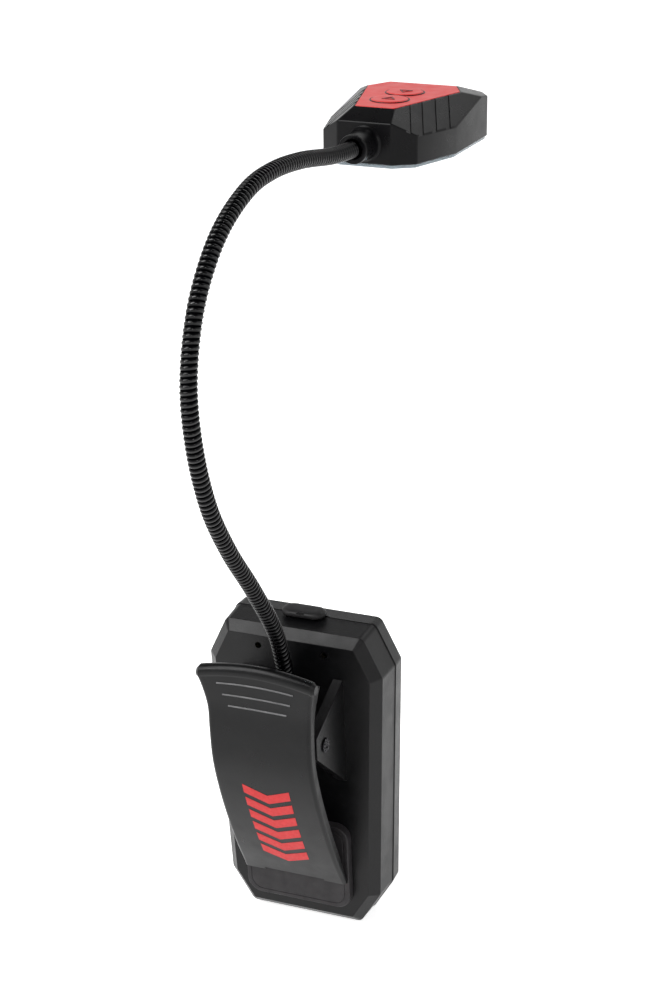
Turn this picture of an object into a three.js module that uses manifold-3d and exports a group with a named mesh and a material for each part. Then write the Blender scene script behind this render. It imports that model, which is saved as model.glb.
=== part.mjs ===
// Clip-on reading lamp: a battery housing with a spring clip, a gooseneck and a faceted LED head.
//
// Units are millimetres, +Z is up. The lamp is mirror-symmetric about the plane X = 0.
// The origin is the centre of the jaw pad's clamping face, and -Y points out of that face.
// Inside, the base is drawn from the middle of the housing's flat clip face (y = 0, z = 0),
// and the head from the bottom of its rear wall, with x across, y forward and z up.

import * as THREE from 'three';
import { mergeVertices } from 'three/addons/utils/BufferGeometryUtils.js';
import { ConvexGeometry } from 'three/addons/geometries/ConvexGeometry.js';
import Module from 'manifold-3d';

const wasm = await Module();
wasm.setup();

// ---------------------------------------------------------------- driving dimensions

const RUNNING_GAP = 0.3;        // between pieces that move, or that rest on each other

const HOUSING = {
  halfHeight: 50,
  halfWidth: 26.7,              // at mid height
  taper: 0.04,                  // half width gained for each mm of height
  top: { cutX: 6.5, cutZ: 12.3 },
  bottom: { cutX: 6.4, cutZ: 11.1 },
  cornerRadius: 2.2,
  bevel: 2.9,                   // rim bevel, both its depth and its inset
  partingY: 11.8,
  partingFlare: 0.45,           // how far the parting line stands outside the rim
  coverStep: 0.25,              // the cover stands this much proud of the rear shell
  frontBevelY: 17,
  depth: 20,
  wall: 1.8,
};

const PAD = {
  halfWidth: 17.3,
  height: 29,
  centreZ: -27.9,
  thickness: 3,
  radius: 4.5,
  edge: 0.5,
  groove: { inset: 1.3, width: 0.6, depth: 0.35 },
};

const EAR = {
  inner: 13.3,
  outer: 16.6,
  topZ: 36.5,
  bottomZ: 2,
  tipY: -20.6,
  tipTopZ: 27.8,
  tipBottomZ: 20.6,
};
const PIVOT = {
  y: -15,
  z: 22.9,
  pinRadius: 1.5,
  boreRadius: 1.7,
  headRadius: 2.2,
  headHeight: 0.5,
  seatGap: 0.25,                // between an ear and the pin's head or nut
  socketRadius: 0.9,
};

const LEVER_PAD_GAP = 0.4;       // between the rubber pads while the clip is shut

const LEVER = {
  wall: 1.9,
  // Half widths down the lever, as (x, z).
  sides: [[19.6, 51.3], [18.9, 46.5], [17.7, 41.5], [16.7, 35], [16.4, 27], [16.5, 8], [17, -35.2]],
  lip: { y: -24.4, z: 46.2, radius: 2.2, arch: 2.4 },   // rolled bead, standing higher in its middle
  footZ: -32.2,
  earInner: 10.5,
  earOuter: 12.9,
  earRadius: 4.4,
  notchHalfWidth: 9.9,
  notchHeight: 0.9,
  gripLines: [[12.2, 43.2], [10.8, 39.7], [9.3, 36.2]],   // (half length, z)
  gripLineHeight: 0.4,
  gripLineDepth: 0.3,
};
// Outer face of the lever, as (y, z) from the lip down to the foot.
const LEVER_FACE = [
  [-26.6, 47.2], [-25.6, 41], [-24.8, 35], [-25.1, 27], [-24.6, 18], [-21.9, 7], [-17.3, -6], [-11, -20.5],
  [-4.9, -32.2],
];
// Rear edge of the side flanges, in the same order.
const FLANGE_EDGE = [
  [-21.6, 46.6], [-21.4, 41], [-21.6, 35], [-21.9, 27], [-21.4, 18], [-18.6, 7], [-14, -6], [-8, -20.5],
  [-3.9, -30.6],
];

const SPRING = {
  coilRadius: 3.4,
  wireRadius: 0.6,
  turns: 6,
  stepsPerTurn: 12,
  startDeg: 100,
  endDeg: 40,                   // past the last full turn
  halfLength: 5.4,
  armX: 6.3,
  leverArm: [[-21.6, 41.2], [-20.6, 34]],   // (y, z) from the tip to the coil
  baseArm: [[-9.6, 28.5], [-1.2, 33.5]],    // (y, z) from the coil to the tip
};

const NECK = { radius: 2.7, segments: 12, joint: 1.2, collarClearance: 0.4, sides: 10, steps: 4 };
// Centre line of the gooseneck, as (y, z) from the base ferrule to the head collar.
const NECK_LINE = [
  [-2.9, 34], [-4.7, 39.6], [-9.7, 54.2], [-22.9, 74.4], [-37.6, 94.1], [-47.8, 111.7], [-53.9, 132.2],
  [-54.6, 150], [-48.8, 166.7], [-39.9, 177.5], [-28.9, 185.1], [-11.8, 190.4], [3.6, 190.8], [22.6, 188.3],
  [46, 183.1], [60.16, 180.96],
];

const HEAD = {
  y: 68.85,
  z: 174.15,
  tiltDeg: -4.54,
  height: 15.58,
  plan: [[8.75, 0], [15.26, 4.45], [20.82, 23.29], [20.34, 52.88], [17.3, 56.5]],   // (half width, y)
  slope: 1.36,                  // side bevel: mm out for each mm down
  cornerSlope: 0.312,           // front corner facets: mm down for each mm out
  wallScale: { x: 0.92, y: 0.93, z: 0.89 },
  ridge: { rearY: 7.66, rearX: 6.85, wideY: 41, wideX: 16.06, frontY: 50, frontX: 11.56 },
};
// Shallow channels across the side bevels of the head.
const CHANNEL = {
  width: 1.9,
  depth: 0.3,
  length: 24,
  startX: 13.6,                 // x of a start, and its gain for each mm of y
  startSlope: 0.3,
  startsY: [1.2, 6.9, 13.2, 19.7],
  way: [-4, 9.5],
};
const PANEL = { border: 0.45, thickness: 1.2, proud: 0.15 };
const BUTTON = { radius: 5.85, centresY: [20.6, 33.4], proud: 0.55, height: 3.2, gap: 0.3, switchGap: 0.8 };
const TRIANGLE = { size: 2.3, inner: 0.5, height: 0.2 };
const COLLAR = { radius: 4.5, bore: 3.2, z: 6.1, rearY: -9.2, frontY: 3 };
const LED_BOARD = {
  z: 4.4,
  thickness: 1,
  rearY: 12,
  frontY: 49,
  rearHalfWidth: 7.5,
  halfWidth: 13.5,
  cut: 4,                       // width lost at each front corner
};
const LED = { size: 3, height: 0.7, columns: [-6.5, 6.5], rows: [20, 31, 42] };

const PORT = {
  y: 11,
  halfWidth: 7,
  halfDepth: 3.4,
  flangeHeight: 1.75,
  seatGap: 0.25,
  hole: { halfWidth: 5.2, halfDepth: 2.4 },
};
const NECK_BOSS = { radius: 4.4, bore: 3.25, back: 14.5 };
const SCREW = { pilotRadius: 1.15, holeRadius: 1.35, sinkRadius: 2.5, postRadius: 2.6, coverPostRadius: 3.4 };
const INDICATOR_HOLE_RADIUS = 1.05;

// ---------------------------------------------------------------- finishes

function finish(color, roughness, metalness = 0) {
  return new THREE.MeshStandardMaterial({ color, roughness, metalness });
}
const BLACK_SHELL = finish(0x1d1d1f, 0.5);
const LEVER_BLACK = finish(0x2e2e30, 0.45);
const RUBBER = finish(0x1a1a1c, 0.85);
const NECK_BLACK = finish(0x131314, 0.3, 0.4);
const STEEL = finish(0x9a9a9c, 0.35, 1);
const DARK_STEEL = finish(0x3c3c3e, 0.4, 1);
const RED_PLASTIC = finish(0xd9534a, 0.45);
const CLEAR = finish(0xdfeaf0, 0.1);
const BOARD_GREEN = finish(0x1f5a38, 0.5);
const BOARD_WHITE = finish(0xe6e6e2, 0.5);
const CELL_SILVER = finish(0xb8bcc0, 0.4, 0.6);
const LED_YELLOW = finish(0xf3e6a8, 0.3);
const WHITE_PLASTIC = finish(0xeeeeec, 0.4);

// ---------------------------------------------------------------- building helpers

const v2 = (x, y) => new THREE.Vector2(x, y);
const v3 = (x, y, z) => new THREE.Vector3(x, y, z);

function toSolid(geometry) {
  const bare = geometry.clone();
  bare.deleteAttribute('normal');
  bare.deleteAttribute('uv');
  const merged = mergeVertices(bare, 1e-4);
  const vertProperties = new Float32Array(merged.attributes.position.array);
  const triVerts = new Uint32Array(merged.index.array);
  return new wasm.Manifold(new wasm.Mesh({ numProp: 3, vertProperties, triVerts }));
}

function toGeometry(solid) {
  const mesh = solid.getMesh();
  const geometry = new THREE.BufferGeometry();
  geometry.setAttribute('position', new THREE.BufferAttribute(new Float32Array(mesh.vertProperties), 3));
  geometry.setIndex(new THREE.BufferAttribute(new Uint32Array(mesh.triVerts), 1));
  geometry.computeVertexNormals();
  return geometry;
}

const addAll = (solids) => solids.reduce((sum, solid) => sum.add(solid));
const cutAll = (solid, tools) => tools.reduce((rest, tool) => rest.subtract(tool), solid);

// A prism with its outline in the plane across the named axis.
const BASES = {
  x: new THREE.Matrix4().makeBasis(v3(0, 1, 0), v3(0, 0, 1), v3(1, 0, 0)),   // outline (y, z)
  y: new THREE.Matrix4().makeBasis(v3(1, 0, 0), v3(0, 0, 1), v3(0, -1, 0)),  // outline (x, z)
  z: new THREE.Matrix4(),                                                    // outline (x, y)
};
function prism(axis, outline, low, high) {
  const shape = new THREE.Shape(outline.map(([a, b]) => v2(a, b)));
  const geometry = new THREE.ExtrudeGeometry(shape, { depth: high - low, bevelEnabled: false });
  geometry.applyMatrix4(BASES[axis]);
  const start = { x: v3(low, 0, 0), y: v3(0, high, 0), z: v3(0, 0, low) }[axis];
  return toSolid(geometry.translate(start.x, start.y, start.z));
}

function box(x0, x1, y0, y1, z0, z1) {
  const geometry = new THREE.BoxGeometry(x1 - x0, y1 - y0, z1 - z0);
  return toSolid(geometry.translate((x0 + x1) / 2, (y0 + y1) / 2, (z0 + z1) / 2));
}

// A cylinder or cone frustum from one point to another.
function rod(from, to, radius, endRadius = radius, sides = 32) {
  const length = from.distanceTo(to);
  const geometry = new THREE.CylinderGeometry(endRadius, radius, length, sides);
  const turn = new THREE.Quaternion().setFromUnitVectors(v3(0, 1, 0), to.clone().sub(from).normalize());
  geometry.applyQuaternion(turn);
  const middle = from.clone().lerp(to, 0.5);
  return toSolid(geometry.translate(middle.x, middle.y, middle.z));
}

// Corners of a closed outline, each rounded with its own short arc.
function rounded(corners, radius, arcSteps = 3) {
  const points = [];
  corners.forEach((corner, i) => {
    const here = v2(...corner);
    const before = v2(...corners.at(i - 1)).sub(here).normalize();
    const after = v2(...corners[(i + 1) % corners.length]).sub(here).normalize();
    const halfAngle = Math.acos(THREE.MathUtils.clamp(before.dot(after), -1, 1)) / 2;
    const toTangent = radius / Math.tan(halfAngle);
    const bisector = before.clone().add(after).normalize();
    const centre = bisector.multiplyScalar(radius / Math.sin(halfAngle)).add(here);
    const startPoint = here.clone().addScaledVector(before, toTangent).sub(centre);
    const endPoint = here.clone().addScaledVector(after, toTangent).sub(centre);
    const sweep = startPoint.angleTo(endPoint) * Math.sign(startPoint.cross(endPoint));
    for (let k = 0; k <= arcSteps; k += 1) {
      const spoke = startPoint.clone().rotateAround(v2(0, 0), (sweep * k) / arcSteps).add(centre);
      points.push([spoke.x, spoke.y]);
    }
  });
  return points;
}

function roundedRectangle(x0, x1, z0, z1, radius, arcSteps = 4) {
  return rounded([[x0, z0], [x1, z0], [x1, z1], [x0, z1]], radius, arcSteps);
}

// A convex outline (counter-clockwise) moved inwards by a distance.
function inset(corners, distance) {
  const lines = corners.map((corner, i) => {
    const next = corners[(i + 1) % corners.length];
    const along = v2(next[0] - corner[0], next[1] - corner[1]).normalize();
    const inward = v2(-along.y, along.x);
    return { point: v2(...corner).addScaledVector(inward, distance), along };
  });
  return lines.map((line, i) => {
    const last = lines.at(i - 1);
    const gap = line.point.clone().sub(last.point);
    const t = gap.cross(line.along) / last.along.cross(line.along);
    return last.point.clone().addScaledVector(last.along, t).toArray();
  });
}

// A solid whose outline (x, z) changes from level to level along y; all outlines have the same point count.
function loftY(levels) {
  const ordered = [...levels].sort((a, b) => b.y - a.y);
  const first = ordered[0].outline;
  const last = ordered.length - 1;
  const shape = new THREE.Shape(first.map(([x, z]) => v2(x, z)));
  const geometry = new THREE.ExtrudeGeometry(shape, { depth: last, steps: last, bevelEnabled: false });
  const position = geometry.attributes.position;
  for (let i = 0; i < position.count; i += 1) {
    const level = ordered[Math.round(position.getZ(i))];
    const here = v2(position.getX(i), position.getY(i));
    const index = first.findIndex(([x, z]) => here.distanceTo(v2(x, z)) < 1e-3);
    const [x, z] = level.outline[index];
    position.setXYZ(i, x, level.y, z);
  }
  return toSolid(geometry);
}

function mesh(name, solidOrGeometry, material) {
  const geometry = solidOrGeometry.isBufferGeometry ? solidOrGeometry : toGeometry(solidOrGeometry);
  const piece = new THREE.Mesh(geometry, material.clone());
  piece.name = name;
  return piece;
}

const smoothLine = (points) => new THREE.CatmullRomCurve3(points, false, 'centripetal');

// ---------------------------------------------------------------- housing

function housingCorners() {
  const h = HOUSING.halfHeight;
  const widthAt = (z) => HOUSING.halfWidth + HOUSING.taper * z;
  const topX = widthAt(h) - HOUSING.top.cutX;
  const topZ = h - HOUSING.top.cutZ;
  const bottomX = widthAt(-h) - HOUSING.bottom.cutX;
  const bottomZ = -h + HOUSING.bottom.cutZ;
  const right = [[bottomX, -h], [widthAt(bottomZ), bottomZ], [widthAt(topZ), topZ], [topX, h]];
  const left = right.map(([x, z]) => [-x, z]).reverse();
  return [...right, ...left];
}
const housingOutline = (distance) =>
  rounded(inset(housingCorners(), distance), Math.max(HOUSING.cornerRadius - distance * 0.5, 0.6));

function housingSolid(shrink) {
  const { bevel, partingY, partingFlare, frontBevelY, depth } = HOUSING;
  return loftY([
    { y: shrink, outline: housingOutline(bevel + shrink) },
    { y: bevel + shrink * 0.4, outline: housingOutline(shrink) },
    { y: partingY, outline: housingOutline(shrink - partingFlare) },
    { y: frontBevelY - shrink * 0.4, outline: housingOutline(shrink - partingFlare) },
    { y: depth - shrink, outline: housingOutline(bevel - partingFlare + shrink) },
  ]);
}

function portHole() {
  const { halfWidth, halfDepth } = PORT.hole;
  return box(-halfWidth, halfWidth, PORT.y - halfDepth, PORT.y + halfDepth, 40, 60);
}
const SCREW_SPOTS = [[-18, 38], [18, 38], [-15.5, -39], [15.5, -39]];
const INDICATOR_SPOTS = [[-10.7, 43.8], [10.7, 43.8]];
const hole = (x, z, radius, from, to) => rod(v3(x, from, z), v3(x, to, z), radius, radius, 16);
const NECK_START = v3(0, ...NECK_LINE[0]);
const NECK_BASE_WAY = v3(0, -0.37, 0.929).normalize();

function rearHousing() {
  const { partingY, wall } = HOUSING;
  const behind = box(-40, 40, -1, partingY - 0.1, -60, 60);
  const hollow = housingSolid(wall).intersect(box(-40, 40, 0, partingY + 1, -60, 60));
  const { tipY, tipTopZ, tipBottomZ } = EAR;
  const earCorners = [[tipY, tipBottomZ], [tipY, tipTopZ], [1, EAR.topZ + 0.5], [1, EAR.bottomZ - 1]];
  const earProfile = rounded(earCorners, 0.8);
  const ears = [-1, 1].map((side) => {
    const [low, high] = side < 0 ? [-EAR.outer, -EAR.inner] : [EAR.inner, EAR.outer];
    return prism('x', earProfile, low, high);
  });
  const bossTail = NECK_START.clone().addScaledVector(NECK_BASE_WAY, -NECK_BOSS.back);
  const bossInFront = box(-6, 6, -12, wall - 0.1, 10, 45);
  const boss = rod(bossTail, NECK_START, NECK_BOSS.radius, NECK_BOSS.radius, 28).intersect(bossInFront);
  const boreTail = bossTail.clone().addScaledVector(NECK_BASE_WAY, -6);
  const boreEnd = NECK_START.clone().addScaledVector(NECK_BASE_WAY, 5);
  const posts = SCREW_SPOTS.map(([x, z]) =>
    rod(v3(x, wall - 0.4, z), v3(x, partingY - 0.2, z), SCREW.postRadius, SCREW.postRadius, 16));
  const shell = addAll([housingSolid(0).intersect(behind).subtract(hollow), ...ears, boss, ...posts]);
  return cutAll(shell, [
    rod(boreTail, boreEnd, NECK_BOSS.bore, NECK_BOSS.bore, 28),
    rod(v3(-30, PIVOT.y, PIVOT.z), v3(30, PIVOT.y, PIVOT.z), PIVOT.boreRadius),
    ...INDICATOR_SPOTS.map(([x, z]) => hole(x, z, INDICATOR_HOLE_RADIUS, -1, wall + 1)),
    ...SCREW_SPOTS.map(([x, z]) => hole(x, z, SCREW.pilotRadius, 3, partingY + 1)),
    portHole(),
  ]);
}

function frontCover() {
  const { partingY, wall, depth, coverStep } = HOUSING;
  const inFront = box(-40, 40, partingY + 0.1, depth + 1, -60, 60);
  const hollow = housingSolid(wall).intersect(box(-40, 40, partingY - 1, depth, -60, 60));
  const lip = housingSolid(-coverStep).intersect(box(-40, 40, partingY + 0.1, HOUSING.frontBevelY, -60, 60));
  const postEnd = depth - wall + 0.4;
  const posts = SCREW_SPOTS.map(([x, z]) => hole(x, z, SCREW.coverPostRadius, partingY + 0.1, postEnd));
  const shell = addAll([housingSolid(0).intersect(inFront), lip]).subtract(hollow);
  return cutAll(addAll([shell, ...posts]), [
    ...SCREW_SPOTS.map(([x, z]) => hole(x, z, SCREW.holeRadius, 10, 30)),
    ...SCREW_SPOTS.map(([x, z]) => hole(x, z, SCREW.sinkRadius, depth - 3, 30)),
    portHole(),
  ]);
}

function housingScrew([x, z]) {
  const { depth } = HOUSING;
  const head = rod(v3(x, depth - 2.9, z), v3(x, depth - 1.2, z), 2.1, 2.1, 20);
  const shank = rod(v3(x, 4.4, z), v3(x, depth - 2.8, z), 0.95, 0.95, 12);
  const slots = [box(x - 1.3, x + 1.3, depth - 1.9, depth, z - 0.3, z + 0.3),
    box(x - 0.3, x + 0.3, depth - 1.9, depth, z - 1.3, z + 1.3)];
  return cutAll(head.add(shank), slots);
}

function jawPad() {
  const { halfWidth, height, centreZ, thickness, radius, edge, groove } = PAD;
  const outline = (d) => roundedRectangle(-halfWidth + d, halfWidth - d, centreZ - height / 2 + d,
    centreZ + height / 2 - d, Math.max(radius - d * 0.5, 0.8));
  const slab = loftY([
    { y: -thickness, outline: outline(edge) },
    { y: -thickness + edge, outline: outline(0) },
    { y: -RUNNING_GAP * 0.4, outline: outline(0) },
  ]);
  const floorY = -thickness + groove.depth;
  const ringOuter = prism('y', outline(groove.inset), -thickness - 1, floorY);
  const ringInner = prism('y', outline(groove.inset + groove.width), -thickness - 2, floorY + 1);
  return slab.subtract(ringOuter.subtract(ringInner));
}

function portCover() {
  const { y, halfWidth, halfDepth, flangeHeight, seatGap } = PORT;
  const bottom = HOUSING.halfHeight + HOUSING.partingFlare + HOUSING.coverStep + seatGap;
  const stadium = (d) => {
    const [reach, depth] = [halfWidth - d, halfDepth - d];
    return roundedRectangle(-reach, reach, y - depth, y + depth, depth - 0.05, 6);
  };
  const skirt = prism('z', stadium(0), bottom, bottom + flangeHeight * 0.7);
  const crown = prism('z', stadium(0.5), bottom, bottom + flangeHeight);
  const plug = prism('z', roundedRectangle(-3.9, 3.9, y - 1.3, y + 1.3, 1.2, 3), bottom - 1.7, bottom + 0.5);
  return addAll([skirt, crown, plug]);
}

function usbReceptacle() {
  const outer = prism('z', roundedRectangle(-4.5, 4.5, PORT.y - 1.65, PORT.y + 1.65, 1.5, 3), 40.6, 47.6);
  const mouth = prism('z', roundedRectangle(-4.15, 4.15, PORT.y - 1.3, PORT.y + 1.3, 1.2, 3), 41.6, 48);
  return outer.subtract(mouth);
}

function controlBoard() {
  const board = box(-14, 14, 7.4, 8.6, 18, 46.4);
  const chips = [box(-9, -3, 8.5, 10, 24, 30), box(2, 8, 8.5, 9.6, 21, 25), box(3, 10, 8.5, 11, 29, 34)];
  return addAll([board, ...chips]);
}

function battery() {
  const corners = roundedRectangle(-17, 17, 4.2, 15.6, 2.4, 3);
  const cell = prism('z', corners, -34, 14);
  const tabs = [box(-8, -5, 9.5, 10.3, 13.9, 16), box(5, 8, 9.5, 10.3, 13.9, 16)];
  return addAll([cell, ...tabs]);
}

function indicatorLed([x, z]) {
  const body = box(x - 1.3, x + 1.3, 5.4, 7.1, z - 1.1, z + 1.1);
  return body.add(rod(v3(x, 2.6, z), v3(x, 5.5, z), 0.75, 0.75, 12));
}

// ---------------------------------------------------------------- clip

function pivotPin() {
  const { y, z, pinRadius, headRadius, headHeight, seatGap, socketRadius } = PIVOT;
  const seat = EAR.outer + seatGap;
  const shank = rod(v3(-seat - 0.15, y, z), v3(seat + 0.25, y, z), pinRadius);
  const head = rod(v3(seat, y, z), v3(seat + headHeight, y, z), headRadius, headRadius * 0.92, 24);
  const socket = rod(v3(seat + 0.2, y, z), v3(seat + 3, y, z), socketRadius, socketRadius, 6);
  return shank.add(head).subtract(socket);
}

function pivotNut() {
  const { y, z, pinRadius, headRadius, headHeight, seatGap } = PIVOT;
  const seat = -EAR.outer - seatGap;
  const cap = rod(v3(seat, y, z), v3(seat - headHeight - 0.5, y, z), headRadius, headRadius * 0.92, 24);
  const hole = rod(v3(seat + 0.1, y, z), v3(seat - 0.5, y, z), pinRadius + 0.2);
  return cap.subtract(hole);
}

function curvePoints(points, count) {
  const line = smoothLine(points.map(([y, z]) => v3(0, y, z)));
  return line.getPoints(count).map((p) => [p.y, p.z]);
}

// Where the lever stops at the sides, seen from the front.
function leverSides(distance) {
  const side = curvePoints(LEVER.sides, 18);
  const right = side.map(([x, z]) => [x - distance, z]).reverse();
  const left = side.map(([x, z]) => [-x + distance, z]);
  return [...right, ...left];
}

// The rolled bead along the top of the lever, bent up in the middle.
function leverLip({ y, z, radius, arch }) {
  const reach = 21;
  const steps = 10;
  const rise = (x) => arch * (1 - (x / LEVER.sides[1][0]) ** 2);
  const path = Array.from({ length: steps + 1 }, (_, k) => {
    const x = -reach + (2 * reach * k) / steps;
    return v3(x, y, z + rise(x));
  });
  const section = new THREE.Shape(circle(radius, 20));
  const extrudePath = smoothLine(path);
  return toSolid(new THREE.ExtrudeGeometry(section, { steps, bevelEnabled: false, extrudePath }));
}

function clipLever() {
  const { wall, lip, earInner, earOuter, earRadius, notchHalfWidth, notchHeight, footZ } = LEVER;
  const face = curvePoints(LEVER_FACE, 22);
  const back = curvePoints(LEVER_FACE.map(([y, z]) => [y + wall, z + 0.2]), 22);
  const flangeBack = curvePoints(FLANGE_EDGE, 16);
  const inside = [...back].reverse();
  const front = prism('x', [...face, ...inside].reverse(), -20, 20);
  const deep = prism('x', [...face, ...[...flangeBack].reverse()].reverse(), -20, 20);
  const sides = prism('y', leverSides(0), -40, 10);
  const between = prism('y', leverSides(wall), -41, 11);
  const channel = addAll([front, deep.subtract(between), leverLip(lip)]).intersect(sides);
  const earOutline = [[-23.4, PIVOT.z + 8], [-23.4, PIVOT.z - 8]];
  for (let k = 0; k <= 8; k += 1) {
    const angle = -Math.PI / 2 + (Math.PI * k) / 8;
    earOutline.push([PIVOT.y + earRadius * Math.cos(angle), PIVOT.z + earRadius * Math.sin(angle)]);
  }
  const ears = [prism('x', earOutline, -earOuter, -earInner), prism('x', earOutline, earInner, earOuter)];
  const gripLines = LEVER.gripLines.map(([half, z]) => {
    const faceY = face.reduce((near, p) => (Math.abs(p[1] - z) < Math.abs(near[1] - z) ? p : near))[0];
    const halfLine = LEVER.gripLineHeight / 2;
    return box(-half, half, faceY - 2, faceY + LEVER.gripLineDepth, z - halfLine, z + halfLine);
  });
  return cutAll(addAll([channel, ...ears]), [
    rod(v3(-30, PIVOT.y, PIVOT.z), v3(30, PIVOT.y, PIVOT.z), PIVOT.boreRadius),
    box(-notchHalfWidth, notchHalfWidth, -20, 0, footZ - 3, footZ + notchHeight),
    ...gripLines,
  ]);
}

function leverPad() {
  const front = -LEVER_PAD_GAP - PAD.thickness;
  const outline = [[-4.15, -29.6], [front, -30.6], [front, -24.6], [-6.9, -22.6]];
  return prism('x', outline, -LEVER.notchHalfWidth + 0.3, LEVER.notchHalfWidth - 0.3);
}

function clipSpring() {
  const { coilRadius, wireRadius, turns, stepsPerTurn, startDeg, endDeg, halfLength, armX } = SPRING;
  const startAngle = THREE.MathUtils.degToRad(startDeg);
  const endAngle = THREE.MathUtils.degToRad(endDeg + turns * 360);
  const total = Math.round(((endAngle - startAngle) / (2 * Math.PI)) * stepsPerTurn);
  const coil = Array.from({ length: total + 1 }, (_, k) => {
    const angle = startAngle + ((endAngle - startAngle) * k) / total;
    const x = -halfLength + (2 * halfLength * k) / total;
    return v3(x, PIVOT.y - coilRadius * Math.sin(angle), PIVOT.z + coilRadius * Math.cos(angle));
  });
  const leverArm = SPRING.leverArm.map(([y, z]) => v3(-armX, y, z));
  const baseArm = SPRING.baseArm.map(([y, z]) => v3(armX, y, z));
  const points = [...leverArm, ...coil, ...baseArm];
  const wire = new THREE.Shape(circle(wireRadius, 6));
  const steps = points.length * 2;
  return new THREE.ExtrudeGeometry(wire, { steps, bevelEnabled: false, extrudePath: smoothLine(points) });
}

// ---------------------------------------------------------------- gooseneck

function circle(radius, sides) {
  return Array.from({ length: sides }, (_, k) => {
    const angle = (2 * Math.PI * k) / sides;
    return v2(radius * Math.cos(angle), radius * Math.sin(angle));
  });
}

const neckLine = smoothLine(NECK_LINE.map(([y, z]) => v3(0, y, z)));
neckLine.arcLengthDivisions = 2000;

function neckSegment(index) {
  const length = neckLine.getLength();
  const pitch = (length - NECK.collarClearance) / NECK.segments;
  const from = (index * pitch + NECK.joint / 2) / length;
  const to = ((index + 1) * pitch - NECK.joint / 2) / length;
  const { steps } = NECK;
  const at = (k) => neckLine.getPointAt(from + ((to - from) * k) / steps);
  const points = Array.from({ length: steps + 1 }, (_, k) => at(k));
  const section = new THREE.Shape(circle(NECK.radius, NECK.sides));
  return new THREE.ExtrudeGeometry(section, { steps, bevelEnabled: false, extrudePath: smoothLine(points) });
}

function neckBaseFerrule() {
  const top = NECK_START.clone().addScaledVector(NECK_BASE_WAY, -0.3);
  const tail = NECK_START.clone().addScaledVector(NECK_BASE_WAY, -NECK_BOSS.back + 1);
  const bore = tail.clone().addScaledVector(NECK_BASE_WAY, -1);
  return rod(tail, top, 2.95, 2.95, 24).subtract(rod(bore, NECK_START, 1.6, 1.6, 16));
}

// ---------------------------------------------------------------- head

// Height of the side bevel and of the front corner facet at a point of the plan.
function bevelHeight(x, y) {
  const { height, slope, ridge } = HEAD;
  const edge = ridge.rearX + ((ridge.wideX - ridge.rearX) * (y - ridge.rearY)) / (ridge.wideY - ridge.rearY);
  return height - (x - edge) / slope;
}
function cornerHeight(x, y) {
  const { height, cornerSlope, ridge } = HEAD;
  const along = v2(ridge.frontX - ridge.wideX, ridge.frontY - ridge.wideY).normalize();
  const reach = v2(x - ridge.wideX, y - ridge.wideY).dot(v2(along.y, -along.x));
  return height - cornerSlope * reach;
}

function headCorners() {
  const { plan, height, ridge } = HEAD;
  const [rear, rearSide, widest, frontSide, nose] = plan;
  const meetY = 46.9;           // where side bevel and corner facet meet on the side wall
  const meetX = widest[0] + ((frontSide[0] - widest[0]) * (meetY - widest[1])) / (frontSide[1] - widest[1]);
  const half = [
    ...plan.map(([x, y]) => [x, y, 0]),
    [...rear, bevelHeight(...rear)],
    [...rearSide, bevelHeight(...rearSide)],
    [...widest, bevelHeight(...widest)],
    [meetX, meetY, bevelHeight(meetX, meetY)],
    [...frontSide, cornerHeight(...frontSide)],
    [...nose, cornerHeight(...nose)],
    [ridge.rearX, ridge.rearY, height],
    [ridge.wideX, ridge.wideY, height],
    [ridge.frontX, ridge.frontY, height],
  ];
  return half.flatMap(([x, y, z]) => [v3(x, y, z), v3(-x, y, z)]);
}

function headHollow() {
  const { wallScale, plan } = HEAD;
  const middleY = plan.at(-1)[1] / 2;
  const inner = headCorners().map((p) =>
    v3(p.x * wallScale.x, middleY + (p.y - middleY) * wallScale.y, p.z > 0 ? p.z * wallScale.z : -2));
  return toSolid(new ConvexGeometry(inner));
}

function panelOutline(distance) {
  const { rearX, rearY, wideX, wideY, frontX, frontY } = HEAD.ridge;
  const right = [[rearX, rearY], [wideX, wideY], [frontX, frontY]];
  const left = right.map(([x, y]) => [-x, y]).reverse();
  return inset([...right, ...left], distance);
}

const buttonHole = (y, radius, low, high) => rod(v3(0, y, low), v3(0, y, high), radius, radius, 36);

// A shallow straight channel across a side bevel, as a tool that cuts it.
function sideChannel(side, startY) {
  const { width, depth, length, startX, startSlope, way } = CHANNEL;
  const onBevel = (x, y) => v3(side * x, y, bevelHeight(x, y));
  const x = startX + startSlope * startY;
  const from = onBevel(x, startY);
  const to = onBevel(x + way[0], startY + way[1]);
  const along = to.clone().sub(from).normalize();
  const normal = onBevel(x, startY + 1).sub(from).cross(along).normalize();
  const outward = normal.z < 0 ? normal.negate() : normal;
  const across = along.clone().cross(outward);
  const geometry = new THREE.BoxGeometry(width, length, depth * 2);
  geometry.applyMatrix4(new THREE.Matrix4().makeBasis(across, along, outward));
  const middle = from.lerp(to, 0.5);
  return toSolid(geometry.translate(middle.x, middle.y, middle.z));
}

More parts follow.
